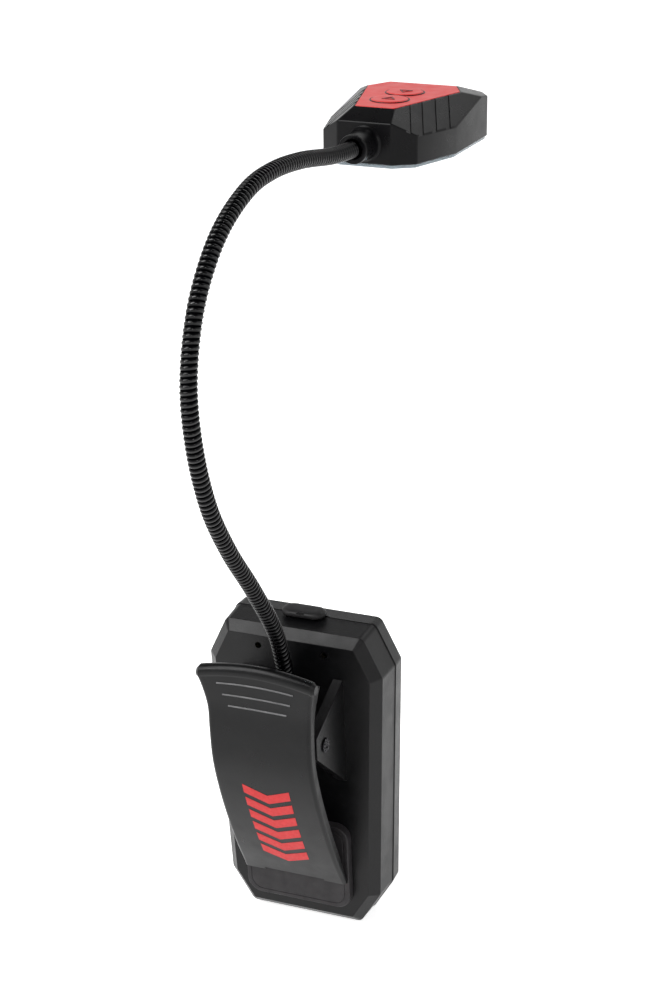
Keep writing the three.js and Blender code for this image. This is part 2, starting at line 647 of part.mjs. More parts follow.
function headShell() {
  const { height } = HEAD;
  const outer = () => toSolid(new ConvexGeometry(headCorners()));
  const boreTo = (radius, from, to) => rod(v3(0, from, COLLAR.z), v3(0, to, COLLAR.z), radius);
  const recess = prism('z', panelOutline(PANEL.border), height - PANEL.thickness - RUNNING_GAP, height + 2);
  const rim = prism('z', rounded(panelOutline(-0.6), 0.5), height - 3.2, height - 1).intersect(outer());
  const socket = boreTo(COLLAR.radius + 1.2, -1, COLLAR.frontY + 1.4).intersect(outer());
  const holeRadius = BUTTON.radius + BUTTON.gap + 0.2;
  const holes = BUTTON.centresY.map((y) => buttonHole(y, holeRadius, height - 8, height + 1));
  const channels = [-1, 1].flatMap((side) => CHANNEL.startsY.map((y) => sideChannel(side, y)));
  return cutAll(addAll([outer().subtract(headHollow()), rim, socket]), [
    recess,
    boreTo(COLLAR.radius + 0.15, -3, COLLAR.frontY + RUNNING_GAP),
    boreTo(2.2, 0, COLLAR.frontY + 5),
    ...holes,
    ...channels,
  ]);
}

function buttonPanel() {
  const { height } = HEAD;
  const plate = prism('z', panelOutline(PANEL.border + 0.15), height - PANEL.thickness, height + PANEL.proud);
  const holes = BUTTON.centresY.map((y) => buttonHole(y, BUTTON.radius + BUTTON.gap, height - 3, height + 3));
  return cutAll(plate, holes);
}

function button(y) {
  const top = HEAD.height + BUTTON.proud;
  const { radius, height } = BUTTON;
  const profile = [v2(0, top - height), v2(1.6, top - height), v2(1.6, top - 2), v2(radius, top - 2),
    v2(radius, top - 0.35), v2(radius - 0.4, top), v2(0, top)];
  const cap = new THREE.LatheGeometry(profile, 40);
  cap.rotateX(Math.PI / 2);
  cap.translate(0, y, 0);
  return toSolid(cap);
}

function raisedTriangle(y, way) {
  const top = HEAD.height + BUTTON.proud;
  const { size, inner, height } = TRIANGLE;
  const arrow = (s) => {
    const corners = [[-s, y - s * 0.62 * way], [s, y - s * 0.62 * way], [0, y + s * way]];
    return way > 0 ? corners : corners.reverse();
  };
  const solid = prism('z', arrow(size), top - 0.4, top + height);
  return solid.subtract(prism('z', arrow(size * inner), top - 1, top + 1));
}

function lensPlate() {
  const outline = (d) => {
    const right = HEAD.plan.map(([x, y]) => [x, y]);
    const left = right.map(([x, y]) => [-x, y]).reverse();
    return inset([...right, ...left], d);
  };
  const flange = prism('z', outline(0.7), -1.15, -RUNNING_GAP * 0.5);
  const insert = prism('z', outline(3), -0.5, 1.1).intersect(box(-30, 30, COLLAR.frontY + 2, 60, -1, 2));
  const dish = prism('z', roundedRectangle(-13, 13, 11, 50, 4), 0, 2);
  return flange.add(insert).subtract(dish);
}

function ledBoard() {
  const { z, thickness, halfWidth, rearHalfWidth, rearY, frontY, cut } = LED_BOARD;
  const side = [[halfWidth, rearY + 8], [halfWidth, frontY - 3]];
  const right = [[rearHalfWidth, rearY], ...side, [halfWidth - cut, frontY]];
  const left = right.map(([x, y]) => [-x, y]).reverse();
  return prism('z', [...right, ...left], z, z + thickness);
}

function lampLed(x, y) {
  const { size, height } = LED;
  const base = LED_BOARD.z - 0.1;
  const body = box(x - size / 2, x + size / 2, y - size / 2, y + size / 2, base - height, base);
  return body.subtract(rod(v3(x, y, base - height - 0.2), v3(x, y, base - height + 0.25), 1.15, 1.15, 16));
}

function buttonSwitch(y) {
  const base = LED_BOARD.z + LED_BOARD.thickness + 0.1;
  const body = box(-3, 3, y - 3, y + 3, base, base + 3.4);
  const plungerTop = HEAD.height + BUTTON.proud - BUTTON.height - BUTTON.switchGap;
  return body.add(rod(v3(0, y, base + 3), v3(0, y, plungerTop), 1.7, 1.7, 16));
}

function headCollar() {
  const { radius, bore, z, rearY, frontY } = COLLAR;
  const waist = radius - 0.25;
  const profile = [[bore, rearY], [radius - 0.35, rearY], [radius, rearY + 0.35], [radius, rearY + 1.1],
    [waist, rearY + 1.4], [waist, -0.6], [radius, -0.3], [radius, frontY], [bore, frontY], [bore, rearY]];
  const tube = new THREE.LatheGeometry(profile.map(([r, y]) => v2(r, y)), 32);
  const stop = rod(v3(0, frontY - 1, 0), v3(0, frontY, 0), bore + 0.2);
  const wireWay = rod(v3(0, frontY - 5, 0), v3(0, frontY + 5, 0), 1.5);
  return toSolid(tube).add(stop).subtract(wireWay).translate([0, 0, z]);
}

function headScrew(x, y) {
  const base = LED_BOARD.z + LED_BOARD.thickness;
  return rod(v3(x, y, base + 0.15), v3(x, y, base + 1.3), 1.5, 1.5, 16);
}

// ---------------------------------------------------------------- assembly

const lamp = new THREE.Group();
const base = new THREE.Group();
base.position.set(0, PAD.thickness, -PAD.centreZ);
lamp.add(base);

base.add(
  mesh('rear_housing', rearHousing(), BLACK_SHELL),
  mesh('front_cover', frontCover(), BLACK_SHELL),
  mesh('jaw_pad', jawPad(), RUBBER),
  mesh('port_cover', portCover(), RUBBER),
  mesh('usb_receptacle', usbReceptacle(), STEEL),
  mesh('control_board', controlBoard(), BOARD_GREEN),
  mesh('battery', battery(), CELL_SILVER),
  mesh('pivot_pin', pivotPin(), DARK_STEEL),
  mesh('pivot_nut', pivotNut(), DARK_STEEL),
  mesh('neck_base_ferrule', neckBaseFerrule(), STEEL),
  mesh('clip_lever', clipLever(), LEVER_BLACK),
  mesh('lever_pad', leverPad(), RUBBER),
  mesh('clip_spring', clipSpring(), STEEL),
);
SCREW_SPOTS.forEach((spot, i) => base.add(mesh(`housing_screw_${i + 1}`, housingScrew(spot), DARK_STEEL)));
INDICATOR_SPOTS.forEach((spot, i) => {
  base.add(mesh(`indicator_led_${i + 1}`, indicatorLed(spot), LED_YELLOW));
});

for (let i = 0; i < NECK.segments; i += 1) {
  base.add(mesh(`neck_segment_${String(i + 1).padStart(2, '0')}`, neckSegment(i), NECK_BLACK));
}

const head = new THREE.Group();
head.position.set(0, HEAD.y, HEAD.z);
head.rotation.x = THREE.MathUtils.degToRad(HEAD.tiltDeg);
base.add(head);

head.add(
  mesh('head_shell', headShell(), BLACK_SHELL),
  mesh('button_panel', buttonPanel(), RED_PLASTIC),
  mesh('head_collar', headCollar(), BLACK_SHELL),
  mesh('lens', lensPlate(), CLEAR),
  mesh('led_board', ledBoard(), BOARD_WHITE),
);
BUTTON.centresY.forEach((y, i) => {
  const way = i === 0 ? 1 : -1;
  head.add(mesh(`button_${i + 1}`, button(y).add(raisedTriangle(y, way)), RED_PLASTIC));
  head.add(mesh(`button_switch_${i + 1}`, buttonSwitch(y), WHITE_PLASTIC));
});
LED.rows.forEach((y, row) => LED.columns.forEach((x, column) => {
  head.add(mesh(`lamp_led_${row * LED.columns.length + column + 1}`, lampLed(x, y), LED_YELLOW));
}));
[-10.5, 10.5].forEach((x, i) => head.add(mesh(`head_screw_${i + 1}`, headScrew(x, 26), DARK_STEEL)));

export default lamp;
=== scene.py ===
"""Clip-on reading lamp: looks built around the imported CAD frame.

Pieces are drawn in millimetres in two local frames, the base's and the head's, and are then placed in metres.
In the base frame the housing's clip face is y = 0, and in the head frame z runs up from the lens side.
"""

import math

import bmesh
import bpy
from mathutils import Matrix, Vector


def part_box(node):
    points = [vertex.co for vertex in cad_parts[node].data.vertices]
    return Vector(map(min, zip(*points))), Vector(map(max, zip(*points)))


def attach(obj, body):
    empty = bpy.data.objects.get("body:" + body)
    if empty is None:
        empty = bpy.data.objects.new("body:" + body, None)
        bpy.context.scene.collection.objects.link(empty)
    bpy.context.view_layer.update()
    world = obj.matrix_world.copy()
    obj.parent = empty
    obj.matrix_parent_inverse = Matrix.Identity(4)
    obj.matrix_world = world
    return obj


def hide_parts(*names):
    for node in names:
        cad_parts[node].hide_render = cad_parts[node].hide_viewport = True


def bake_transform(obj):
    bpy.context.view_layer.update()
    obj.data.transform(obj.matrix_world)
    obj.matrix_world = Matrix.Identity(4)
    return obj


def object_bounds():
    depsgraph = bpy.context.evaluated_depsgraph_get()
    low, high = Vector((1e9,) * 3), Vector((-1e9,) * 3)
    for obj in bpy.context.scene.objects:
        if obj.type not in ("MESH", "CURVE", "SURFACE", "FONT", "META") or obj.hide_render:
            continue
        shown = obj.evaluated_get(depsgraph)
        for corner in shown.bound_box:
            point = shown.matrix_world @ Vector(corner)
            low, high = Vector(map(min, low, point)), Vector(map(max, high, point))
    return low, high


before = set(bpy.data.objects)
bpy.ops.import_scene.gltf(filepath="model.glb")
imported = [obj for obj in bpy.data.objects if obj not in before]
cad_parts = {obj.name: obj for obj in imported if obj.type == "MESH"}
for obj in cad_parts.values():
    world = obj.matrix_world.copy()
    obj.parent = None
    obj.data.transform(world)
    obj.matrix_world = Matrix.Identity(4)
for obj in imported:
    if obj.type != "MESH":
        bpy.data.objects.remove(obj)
cad_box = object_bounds()

# ---------------------------------------------------------------- frames

MM = 0.001
PAD_THICKNESS = 3.0
PAD_CENTRE_Z = -27.9
pad_low, pad_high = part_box("jaw_pad")
pad_middle_z = (pad_low.z + pad_high.z) / 2
base_origin = Vector((0.0, pad_low.y + PAD_THICKNESS * MM, pad_middle_z - PAD_CENTRE_Z * MM))
BASE = Matrix.Translation(base_origin) @ Matrix.Scale(MM, 4)
HEAD_AT = Vector((0.0, 68.85, 174.15))
HEAD_TILT = math.radians(-4.54)
HEAD = BASE @ Matrix.Translation(HEAD_AT) @ Matrix.Rotation(HEAD_TILT, 4, "X")

# ---------------------------------------------------------------- camera, light and floor

VIEW_AZIMUTH = math.radians(23.8)
VIEW_ELEVATION = math.radians(24.3)
VIEW_ROLL = math.radians(-2.3)
CAMERA_AT = Vector((0.26942, -0.57141, 0.40677))
LENS_MM = 86.4
SENSOR_MM = 36
WHITE = (1.0, 1.0, 1.0)
SWEEP_TOP = math.sin(math.radians(27.5))
SWEEP_BLUR = 0.05
SWEEP_LIGHT = 1.0
STUDIO_LIGHT = 0.09
LIGHT_TARGET = Vector((0.0, 0.03, 0.1))
LIGHTS = (   # name, place, size in metres, watts
    ("top_softbox", (-0.45, -0.42, 1.0), 0.7, 10.0),
    ("left_strip", (-0.75, -0.75, 0.75), 0.08, 2.6),
    ("front_strip", (0.5, -1.1, 0.9), 0.08, 2.0),
    ("right_softbox", (1.0, -0.1, 0.6), 0.5, 1.0),
    ("rear_softbox", (0.3, 1.0, 1.2), 0.7, 3.0),
)
FLOOR_HALF = 6.0
FLOOR_GAP = 0.0004
FLOOR_GREY = 0.9
FLOOR_ROUGHNESS = 0.9
FLOOR_GLOW = 0.75


def studio_world():
    """A white sweep up to the height of its top edge, with a dark studio above it."""
    world = bpy.data.worlds.new("studio")
    world.use_nodes = True
    tree = world.node_tree
    height = tree.nodes.new("ShaderNodeSeparateXYZ")
    tree.links.new(tree.nodes.new("ShaderNodeTexCoord").outputs["Generated"], height.inputs[0])
    sweep = tree.nodes.new("ShaderNodeMapRange")
    sweep.inputs["From Min"].default_value = SWEEP_TOP - SWEEP_BLUR
    sweep.inputs["From Max"].default_value = SWEEP_TOP + SWEEP_BLUR
    sweep.inputs["To Min"].default_value = SWEEP_LIGHT
    sweep.inputs["To Max"].default_value = STUDIO_LIGHT
    tree.links.new(height.outputs["Z"], sweep.inputs["Value"])
    tree.links.new(sweep.outputs["Result"], tree.nodes["Background"].inputs["Strength"])
    tree.nodes["Background"].inputs["Color"].default_value = (*WHITE, 1)
    return world


def add_camera(scene):
    forward = Vector((-math.sin(VIEW_AZIMUTH) * math.cos(VIEW_ELEVATION),
                      math.cos(VIEW_AZIMUTH) * math.cos(VIEW_ELEVATION), -math.sin(VIEW_ELEVATION)))
    level = Vector((math.cos(VIEW_AZIMUTH), math.sin(VIEW_AZIMUTH), 0.0))
    right = Matrix.Rotation(-VIEW_ROLL, 3, forward) @ level
    up = right.cross(forward)
    lens = bpy.data.cameras.new("camera")
    lens.lens = LENS_MM
    lens.sensor_width = SENSOR_MM
    camera = bpy.data.objects.new("camera", lens)
    turn = Matrix((right, up, -forward)).transposed().to_4x4()
    camera.matrix_world = Matrix.Translation(CAMERA_AT) @ turn
    scene.collection.objects.link(camera)
    scene.camera = camera


def add_lights(scene):
    for name, place, size, power in LIGHTS:
        light = bpy.data.lights.new(name, "AREA")
        light.size = size
        light.energy = power
        lamp = bpy.data.objects.new(name, light)
        lamp.location = place
        lamp.rotation_euler = (LIGHT_TARGET - lamp.location).to_track_quat("-Z", "Y").to_euler()
        scene.collection.objects.link(lamp)


def add_floor(scene):
    """Paper just under the lamp, which gives off some light of its own so that it stays pale."""
    below = cad_box[0][2] - FLOOR_GAP
    mesh = bpy.data.meshes.new("floor")
    corners = [(x, y, below) for x, y in rectangle(-FLOOR_HALF, FLOOR_HALF, -FLOOR_HALF, FLOOR_HALF)]
    mesh.from_pydata(corners, [], [(0, 1, 2, 3)])
    floor = bpy.data.objects.new("floor", mesh)
    scene.collection.objects.link(floor)
    paper = bpy.data.materials.new("floor_paper")
    paper.use_nodes = True
    shader = paper.node_tree.nodes["Principled BSDF"]
    shader.inputs["Base Color"].default_value = (FLOOR_GREY, FLOOR_GREY, FLOOR_GREY, 1)
    shader.inputs["Roughness"].default_value = FLOOR_ROUGHNESS
    shader.inputs["Emission Color"].default_value = (*WHITE, 1)
    shader.inputs["Emission Strength"].default_value = FLOOR_GLOW
    mesh.materials.append(paper)


def set_stage():
    scene = bpy.context.scene
    scene.view_settings.view_transform = "Standard"
    add_camera(scene)
    scene.world = studio_world()
    add_lights(scene)
    add_floor(scene)


# ---------------------------------------------------------------- materials

PATCH_DETAIL = 3.0
GRAIN_DETAIL = 2.0


def srgb(*levels):
    """An 8-bit display colour as the linear colour that shaders take."""
    return tuple((v / 255 / 12.92) if v < 11 else ((v / 255 + 0.055) / 1.055) ** 2.4 for v in levels)


class Finish:
    """A Principled material whose colour, roughness and normal come from procedural noise on the surface."""

    def __init__(self, name, colour, roughness, **shader):
        self.material = bpy.data.materials.new(name)
        self.material.use_nodes = True
        self.tree = self.material.node_tree
        self.shader = self.tree.nodes["Principled BSDF"]
        self.place = self.tree.nodes.new("ShaderNodeTexCoord").outputs["Object"]
        self.colour = colour
        self.roughness = roughness
        self.shader.inputs["Base Color"].default_value = (*colour, 1)
        for socket, value in shader.items():
            self.shader.inputs[socket.replace("_", " ")].default_value = value
        self.normal = None

    def link(self, output, socket):
        self.tree.links.new(output, socket)

    def noise(self, size_mm, detail, stretch=None):
        """Noise whose patches are about size_mm wide."""
        node = self.tree.nodes.new("ShaderNodeTexNoise")
        node.inputs["Scale"].default_value = 1.0 / (size_mm * MM)
        node.inputs["Detail"].default_value = detail
        if stretch:
            mapping = self.tree.nodes.new("ShaderNodeMapping")
            mapping.inputs["Scale"].default_value = stretch
            self.link(self.place, mapping.inputs["Vector"])
            self.link(mapping.outputs["Vector"], node.inputs["Vector"])
        else:
            self.link(self.place, node.inputs["Vector"])
        return node.outputs["Fac"]

    def spread(self, value, low, high, start=0.3, end=0.7):
        """Maps a value from start..end to low..high."""
        node = self.tree.nodes.new("ShaderNodeMapRange")
        node.inputs["From Min"].default_value = start
        node.inputs["From Max"].default_value = end
        node.inputs["To Min"].default_value = low
        node.inputs["To Max"].default_value = high
        self.link(value, node.inputs["Value"])
        return node.outputs["Result"]

    def mottle(self, size_mm, other, amount=0.6):
        """Mixes a second colour into the first in soft patches."""
        mix = self.tree.nodes.new("ShaderNodeMix")
        mix.data_type = "RGBA"
        mix.inputs[6].default_value = (*self.colour, 1)
        mix.inputs[7].default_value = (*other, 1)
        patches = self.spread(self.noise(size_mm, PATCH_DETAIL), 0.0, amount, start=0.35)
        self.link(patches, mix.inputs[0])
        self.link(mix.outputs[2], self.shader.inputs["Base Color"])
        return self

    def uneven(self, size_mm, amount):
        """Lets the roughness wander around its value, as handled and moulded surfaces do."""
        patches = self.noise(size_mm, PATCH_DETAIL)
        wander = self.spread(patches, self.roughness - amount, self.roughness + amount)
        self.link(wander, self.shader.inputs["Roughness"])
        return self

    def grain(self, size_mm, height_mm, strength=0.6, stretch=None):
        """Adds a layer of surface texture of a given grain size."""
        bump = self.tree.nodes.new("ShaderNodeBump")
        bump.inputs["Strength"].default_value = strength
        bump.inputs["Distance"].default_value = height_mm * MM
        self.link(self.noise(size_mm, GRAIN_DETAIL, stretch), bump.inputs["Height"])
        if self.normal is not None:
            self.link(self.normal, bump.inputs["Normal"])
        self.normal = bump.outputs["Normal"]
        self.link(self.normal, self.shader.inputs["Normal"])
        return self


def paint_crest_glints_and_groove_shade(finish):
    """Painted shade in the grooves of the winding and a painted glint on its crests: the specular level
    follows how close each point lies to a crest.
    """
    crest = finish.tree.nodes.new("ShaderNodeAttribute")
    crest.attribute_name = "crest"
    painted_glint = finish.spread(crest.outputs["Fac"], 0.0, 1.0, 0.25, 0.85)
    finish.link(painted_glint, finish.shader.inputs["Specular IOR Level"])


def make_finishes():
    """Every material: colour and roughness, then mottling, uneven gloss and grain, sized in millimetres.

    The black plastics reflect less than real ones do, with refractive indices of 1.24 to 1.32.
    """
    made = {}

    def add(name, *args, **kwargs):
        made[name] = Finish(name, *args, **kwargs)
        return made[name]

    add("black_shell", srgb(6, 6, 7), 0.35, IOR=1.32).mottle(9, srgb(11, 10, 12)).uneven(6, 0.05) \
        .grain(0.34, 0.07, 0.8).grain(0.9, 0.02, 0.35)
    add("head_shell", srgb(5, 5, 6), 0.3, IOR=1.24).mottle(9, srgb(10, 9, 11)).uneven(6, 0.05) \
        .grain(0.3, 0.012).grain(1.1, 0.015, 0.3)
    add("lever_plastic", srgb(6, 6, 7), 0.33, IOR=1.29).mottle(7, srgb(13, 13, 14), 0.5).uneven(5, 0.06) \
        .grain(0.22, 0.014).grain(1.4, 0.02, 0.3)
    add("rubber", srgb(26, 24, 26), 0.6, IOR=1.4).mottle(4, srgb(36, 33, 35), 0.7).uneven(3, 0.08) \
        .grain(0.35, 0.03).grain(1.6, 0.03, 0.4)
    add("port_rubber", srgb(12, 11, 12), 0.55, IOR=1.4).mottle(3, srgb(20, 18, 20), 0.7).uneven(3, 0.08) \
        .grain(0.35, 0.02).grain(1.6, 0.02, 0.4)
    add("neck_steel", srgb(1, 1, 2), 0.14, IOR=1.3).mottle(3, srgb(4, 4, 5), 0.6).uneven(1.5, 0.05) \
        .grain(0.5, 0.01, 0.4)
    # painted glints on the neck's crests and painted shade in its grooves
    paint_crest_glints_and_groove_shade(made["neck_steel"])
    add("steel", srgb(178, 178, 182), 0.3, Metallic=1.0).mottle(2.5, srgb(150, 150, 156)).uneven(1.2, 0.09) \
        .grain(0.4, 0.01, 0.4, stretch=(1, 1, 8))
    add("dark_steel", srgb(52, 52, 55), 0.3, Metallic=1.0).mottle(1.5, srgb(98, 96, 98)).uneven(0.8, 0.1) \
        .grain(0.3, 0.012, 0.5)
    add("red_plastic", srgb(204, 44, 42), 0.4, IOR=1.36).mottle(6, srgb(216, 54, 50), 0.5).uneven(4, 0.05) \
        .grain(0.25, 0.012).grain(1.2, 0.012, 0.3)
    # painted shade: the dark red of the triangles on the buttons stands in for the shade in recessed lines
    add("groove_shade_red", srgb(96, 16, 18), 0.5).mottle(1, srgb(120, 24, 24), 0.6).uneven(1, 0.08) \
        .grain(0.2, 0.01, 0.5)
    # painted highlight: this lighter grey on the grip lines stands in for the light they catch
    add("grip_highlight_plastic", srgb(34, 34, 36), 0.36).mottle(3, srgb(58, 58, 60), 0.7).uneven(2, 0.08) \
        .grain(0.4, 0.01, 0.5)
    add("red_ink", srgb(172, 26, 28), 0.5, IOR=1.36).mottle(1.2, srgb(190, 38, 40), 0.6).uneven(1, 0.08) \
        .grain(0.2, 0.01, 0.5)
    add("lens_clear", srgb(222, 234, 240), 0.16, Transmission_Weight=0.85, IOR=1.49) \
        .mottle(8, srgb(205, 224, 236)).uneven(5, 0.05).grain(0.8, 0.01, 0.12)
    add("board_green", srgb(26, 84, 54), 0.4).mottle(1.4, srgb(38, 104, 66)).uneven(2, 0.08) \
        .grain(0.6, 0.02)
    add("board_white", srgb(226, 227, 222), 0.45).mottle(2.2, srgb(206, 208, 204)).uneven(2, 0.08) \
        .grain(0.6, 0.02)
    add("cell_wrap", srgb(60, 92, 150), 0.3).mottle(5, srgb(52, 80, 136)).uneven(4, 0.08).grain(1.5, 0.03)
    add("led_yellow", srgb(246, 226, 128), 0.25).mottle(0.8, srgb(236, 206, 88)).uneven(0.8, 0.06) \
        .grain(0.4, 0.01)
    add("white_plastic", srgb(232, 232, 228), 0.42).mottle(3, srgb(216, 216, 212)).uneven(3, 0.06) \
        .grain(0.4, 0.015)
    return made


# ---------------------------------------------------------------- outlines and paths (millimetres)


def between(a, b, t):
    """The value a share t of the way from a to b."""
    return a + (b - a) * t


def rounded(corners, radius, steps=6):
    """A closed outline with an arc at each corner."""
    points = []
    count = len(corners)
    for i, corner in enumerate(corners):
        points.extend(corner_arc(corners[i - 1], corner, corners[(i + 1) % count], radius, steps))
    return points


def corner_arc(previous, corner, following, radius, steps):
    """Points on the arc that rounds a corner between its two neighbours."""
    here = Vector(corner)
    before = (Vector(previous) - here).normalized()
    after = (Vector(following) - here).normalized()
    half = math.acos(max(-1.0, min(1.0, before.dot(after)))) / 2
    centre = here + (before + after).normalized() * (radius / math.sin(half))
    start = here + before * (radius / math.tan(half)) - centre
    end = here + after * (radius / math.tan(half)) - centre
    sweep = start.angle_signed(end)
    return [tuple(centre + Matrix.Rotation(-sweep * k / steps, 2) @ start) for k in range(steps + 1)]


def eased(points, radius):
    """An open path with an arc at each inner corner."""
    steps = 4
    path = [points[0]]
    for i in range(1, len(points) - 1):
        path.extend(corner_arc(points[i - 1], points[i], points[i + 1], radius, steps))
    path.append(points[-1])
    return path


def inset(corners, distance):
    """A convex outline, counter-clockwise, moved inwards."""
    count = len(corners)
    lines = []
    for i in range(count):
        a = Vector(corners[i])
        along = (Vector(corners[(i + 1) % count]) - a).normalized()
        lines.append((a + Vector((-along.y, along.x)) * distance, along))
    moved = []
    for i in range(count):
        (p, u), (q, v) = lines[i - 1], lines[i]
        gap = q - p
        t = (gap.x * v.y - gap.y * v.x) / (u.x * v.y - u.y * v.x)
        moved.append(tuple(p + u * t))
    return moved


def rectangle(x0, x1, z0, z1):
    return [(x0, z0), (x1, z0), (x1, z1), (x0, z1)]


def circle(radius, sides):
    return [(radius * math.cos(2 * math.pi * k / sides), radius * math.sin(2 * math.pi * k / sides))
            for k in range(sides)]


def spline(points, count):
    """Evenly spaced points along a centripetal Catmull-Rom curve through the given points."""
    knots = [Vector(p) for p in points]
    knots = [knots[0] * 2 - knots[1], *knots, knots[-1] * 2 - knots[-2]]
    dense = []
    per_span = 40
    for i in range(1, len(knots) - 2):
        p0, p1, p2, p3 = knots[i - 1:i + 3]
        t1 = math.sqrt((p1 - p0).length)
        t2 = t1 + math.sqrt((p2 - p1).length)
        t3 = t2 + math.sqrt((p3 - p2).length)
        for k in range(per_span):
            t = between(t1, t2, k / per_span)
            a1 = between(p0, p1, t / t1)
            a2 = between(p1, p2, (t - t1) / (t2 - t1))
            a3 = between(p2, p3, (t - t2) / (t3 - t2))
            b1 = between(a1, a2, t / t2)
            b2 = between(a2, a3, (t - t1) / (t3 - t1))
            dense.append(between(b1, b2, (t - t1) / (t2 - t1)))
    dense.append(knots[-2])
    return even(dense, count)


def even(dense, count):
    """The same path as count equal steps."""
    reach = [0.0]
    for a, b in zip(dense, dense[1:]):
        reach.append(reach[-1] + (b - a).length)
    result = []
    j = 0
    for k in range(count + 1):
        target = reach[-1] * k / count
        while j < len(dense) - 2 and reach[j + 1] < target:
            j += 1
        span = max(reach[j + 1] - reach[j], 1e-9)
        result.append(between(dense[j], dense[j + 1], (target - reach[j]) / span))
    return result


# ---------------------------------------------------------------- mesh helpers

AXES = {
    "x": lambda a, b, h: (h, a, b),
    "y": lambda a, b, h: (a, h, b),
    "z": lambda a, b, h: (a, b, h),
}


def loft(rings, closed=False):
    """A solid through rings of points, all with the same count, with flat ends unless it closes on itself."""
    mesh = bmesh.new()
    rows = [[mesh.verts.new(p) for p in ring] for ring in rings]
    spans = list(zip(rows, rows[1:])) + ([(rows[-1], rows[0])] if closed else [])
    for low, high in spans:
        for k in range(len(low)):
            n = (k + 1) % len(low)
            mesh.faces.new((low[k], low[n], high[n], high[k]))
    if not closed:
        mesh.faces.new(rows[0][::-1])
        mesh.faces.new(rows[-1])
    bmesh.ops.recalc_face_normals(mesh, faces=mesh.faces)
    return mesh


def slab(outline, axis, profile):
    """A solid whose outline, a function of the inset, follows a profile of (inset, height) along an axis."""
    place = AXES[axis]
    return loft([[place(a, b, h) for a, b in outline(d)] for d, h in profile])


def prism(points, axis, low, high, edge=0.0):
    """An extruded outline; a convex one may have its rims eased by a small bevel."""
    if not edge:
        return slab(lambda d: points, axis, [(0, low), (0, high)])
    profile = [(edge, low), (edge * 0.3, low + edge * 0.3), (0, low + edge), (0, high - edge),
               (edge * 0.3, high - edge * 0.3), (edge, high)]
    return slab(lambda d: inset(points, d), axis, profile)


def turned(profile, start, direction, sides=48, closed=False):
    """A round solid from (radius, distance) pairs along a direction."""
    way = Vector(direction).normalized()
    turn = way.to_track_quat("Z", "Y").to_matrix()
    rings = [[Vector(start) + turn @ Vector((x, y, t)) for x, y in circle(r, sides)] for r, t in profile]
    return loft(rings, closed)


def rod(a, b, radius, sides=32):
    a, b = Vector(a), Vector(b)
    return turned([(radius, 0), (radius, (b - a).length)], a, b - a, sides)


def block(x0, x1, y0, y1, z0, z1):
    return prism(rectangle(x0, x1, y0, y1), "z", z0, z1)


def tube(path, radius, sides=12):
    """A round wire along a path, with flat ends."""
    rings = []
    across = Vector((1, 0, 0))
    for i, point in enumerate(path):
        ahead = (path[min(i + 1, len(path) - 1)] - path[max(i - 1, 0)]).normalized()
        across = (across - ahead * across.dot(ahead)).normalized()
        side = ahead.cross(across)
        rings.append([point + across * x + side * y for x, y in circle(radius, sides)])
    return loft(rings)


def as_object(name, mesh):
    data = bpy.data.meshes.new(name)
    mesh.to_mesh(data)
    mesh.free()
    thing = bpy.data.objects.new(name, data)
    bpy.context.scene.collection.objects.link(thing)
    return thing


def settle(thing):
    """Turns an object's modifiers into its mesh."""
    bpy.context.view_layer.update()
    shaped = thing.evaluated_get(bpy.context.evaluated_depsgraph_get())
    data = bpy.data.meshes.new_from_object(shaped)
    thing.modifiers.clear()
    old = thing.data
    thing.data = data
    bpy.data.meshes.remove(old)


def combine(mesh, steps):
    """Applies a list of ("UNION" or "DIFFERENCE", tool mesh) to a mesh."""
    thing = as_object("work", mesh)
    tools = []
    for operation, tool in steps:
        helper = as_object("tool", tool)
        helper.hide_render = True
        modifier = thing.modifiers.new("combine", "BOOLEAN")
        modifier.operation = operation
        modifier.solver = "EXACT"
        modifier.object = helper
        tools.append(helper)
    settle(thing)
    result = bmesh.new()
    result.from_mesh(thing.data)
    for helper in (thing, *tools):
        bpy.data.objects.remove(helper)
    return result


def cut(mesh, *tools):
    return combine(mesh, [("DIFFERENCE", tool) for tool in tools])


def weld(mesh, *tools):
    return combine(mesh, [("UNION", tool) for tool in tools])


def bevelled(mesh, width):
    """Rounds every edge that turns by more than 25 degrees."""
    least = math.radians(25)
    sharp = [e for e in mesh.edges if len(e.link_faces) == 2 and e.calc_face_angle(0) > least]
    bmesh.ops.bevel(mesh, geom=sharp, offset=width, offset_type="OFFSET", segments=3, profile=0.5,
                    affect="EDGES", clamp_overlap=True)
    return mesh


def finish_piece(name, mesh, place, finish, crease=28):
    """Makes the object in its place, smooth but for edges sharper than the crease angle."""
    thing = as_object(name, mesh)
    thing.data.transform(place)
    thing.data.polygons.foreach_set("use_smooth", [True] * len(thing.data.polygons))
    thing.data.set_sharp_from_angle(angle=math.radians(crease))
    thing.data.materials.append(finishes[finish].material)
    flatten = thing.modifiers.new("weighted_normals", "WEIGHTED_NORMAL")
    flatten.keep_sharp = True
    return thing


def piece(name, mesh, place, finish, body, *nodes, slot=None):
    """A finished piece that rides on a body and replaces CAD nodes; the slot argument is not used."""
    thing = finish_piece(name, mesh, place, finish)
    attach(thing, body)
    if nodes:
        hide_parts(*nodes)


# ---------------------------------------------------------------- housing

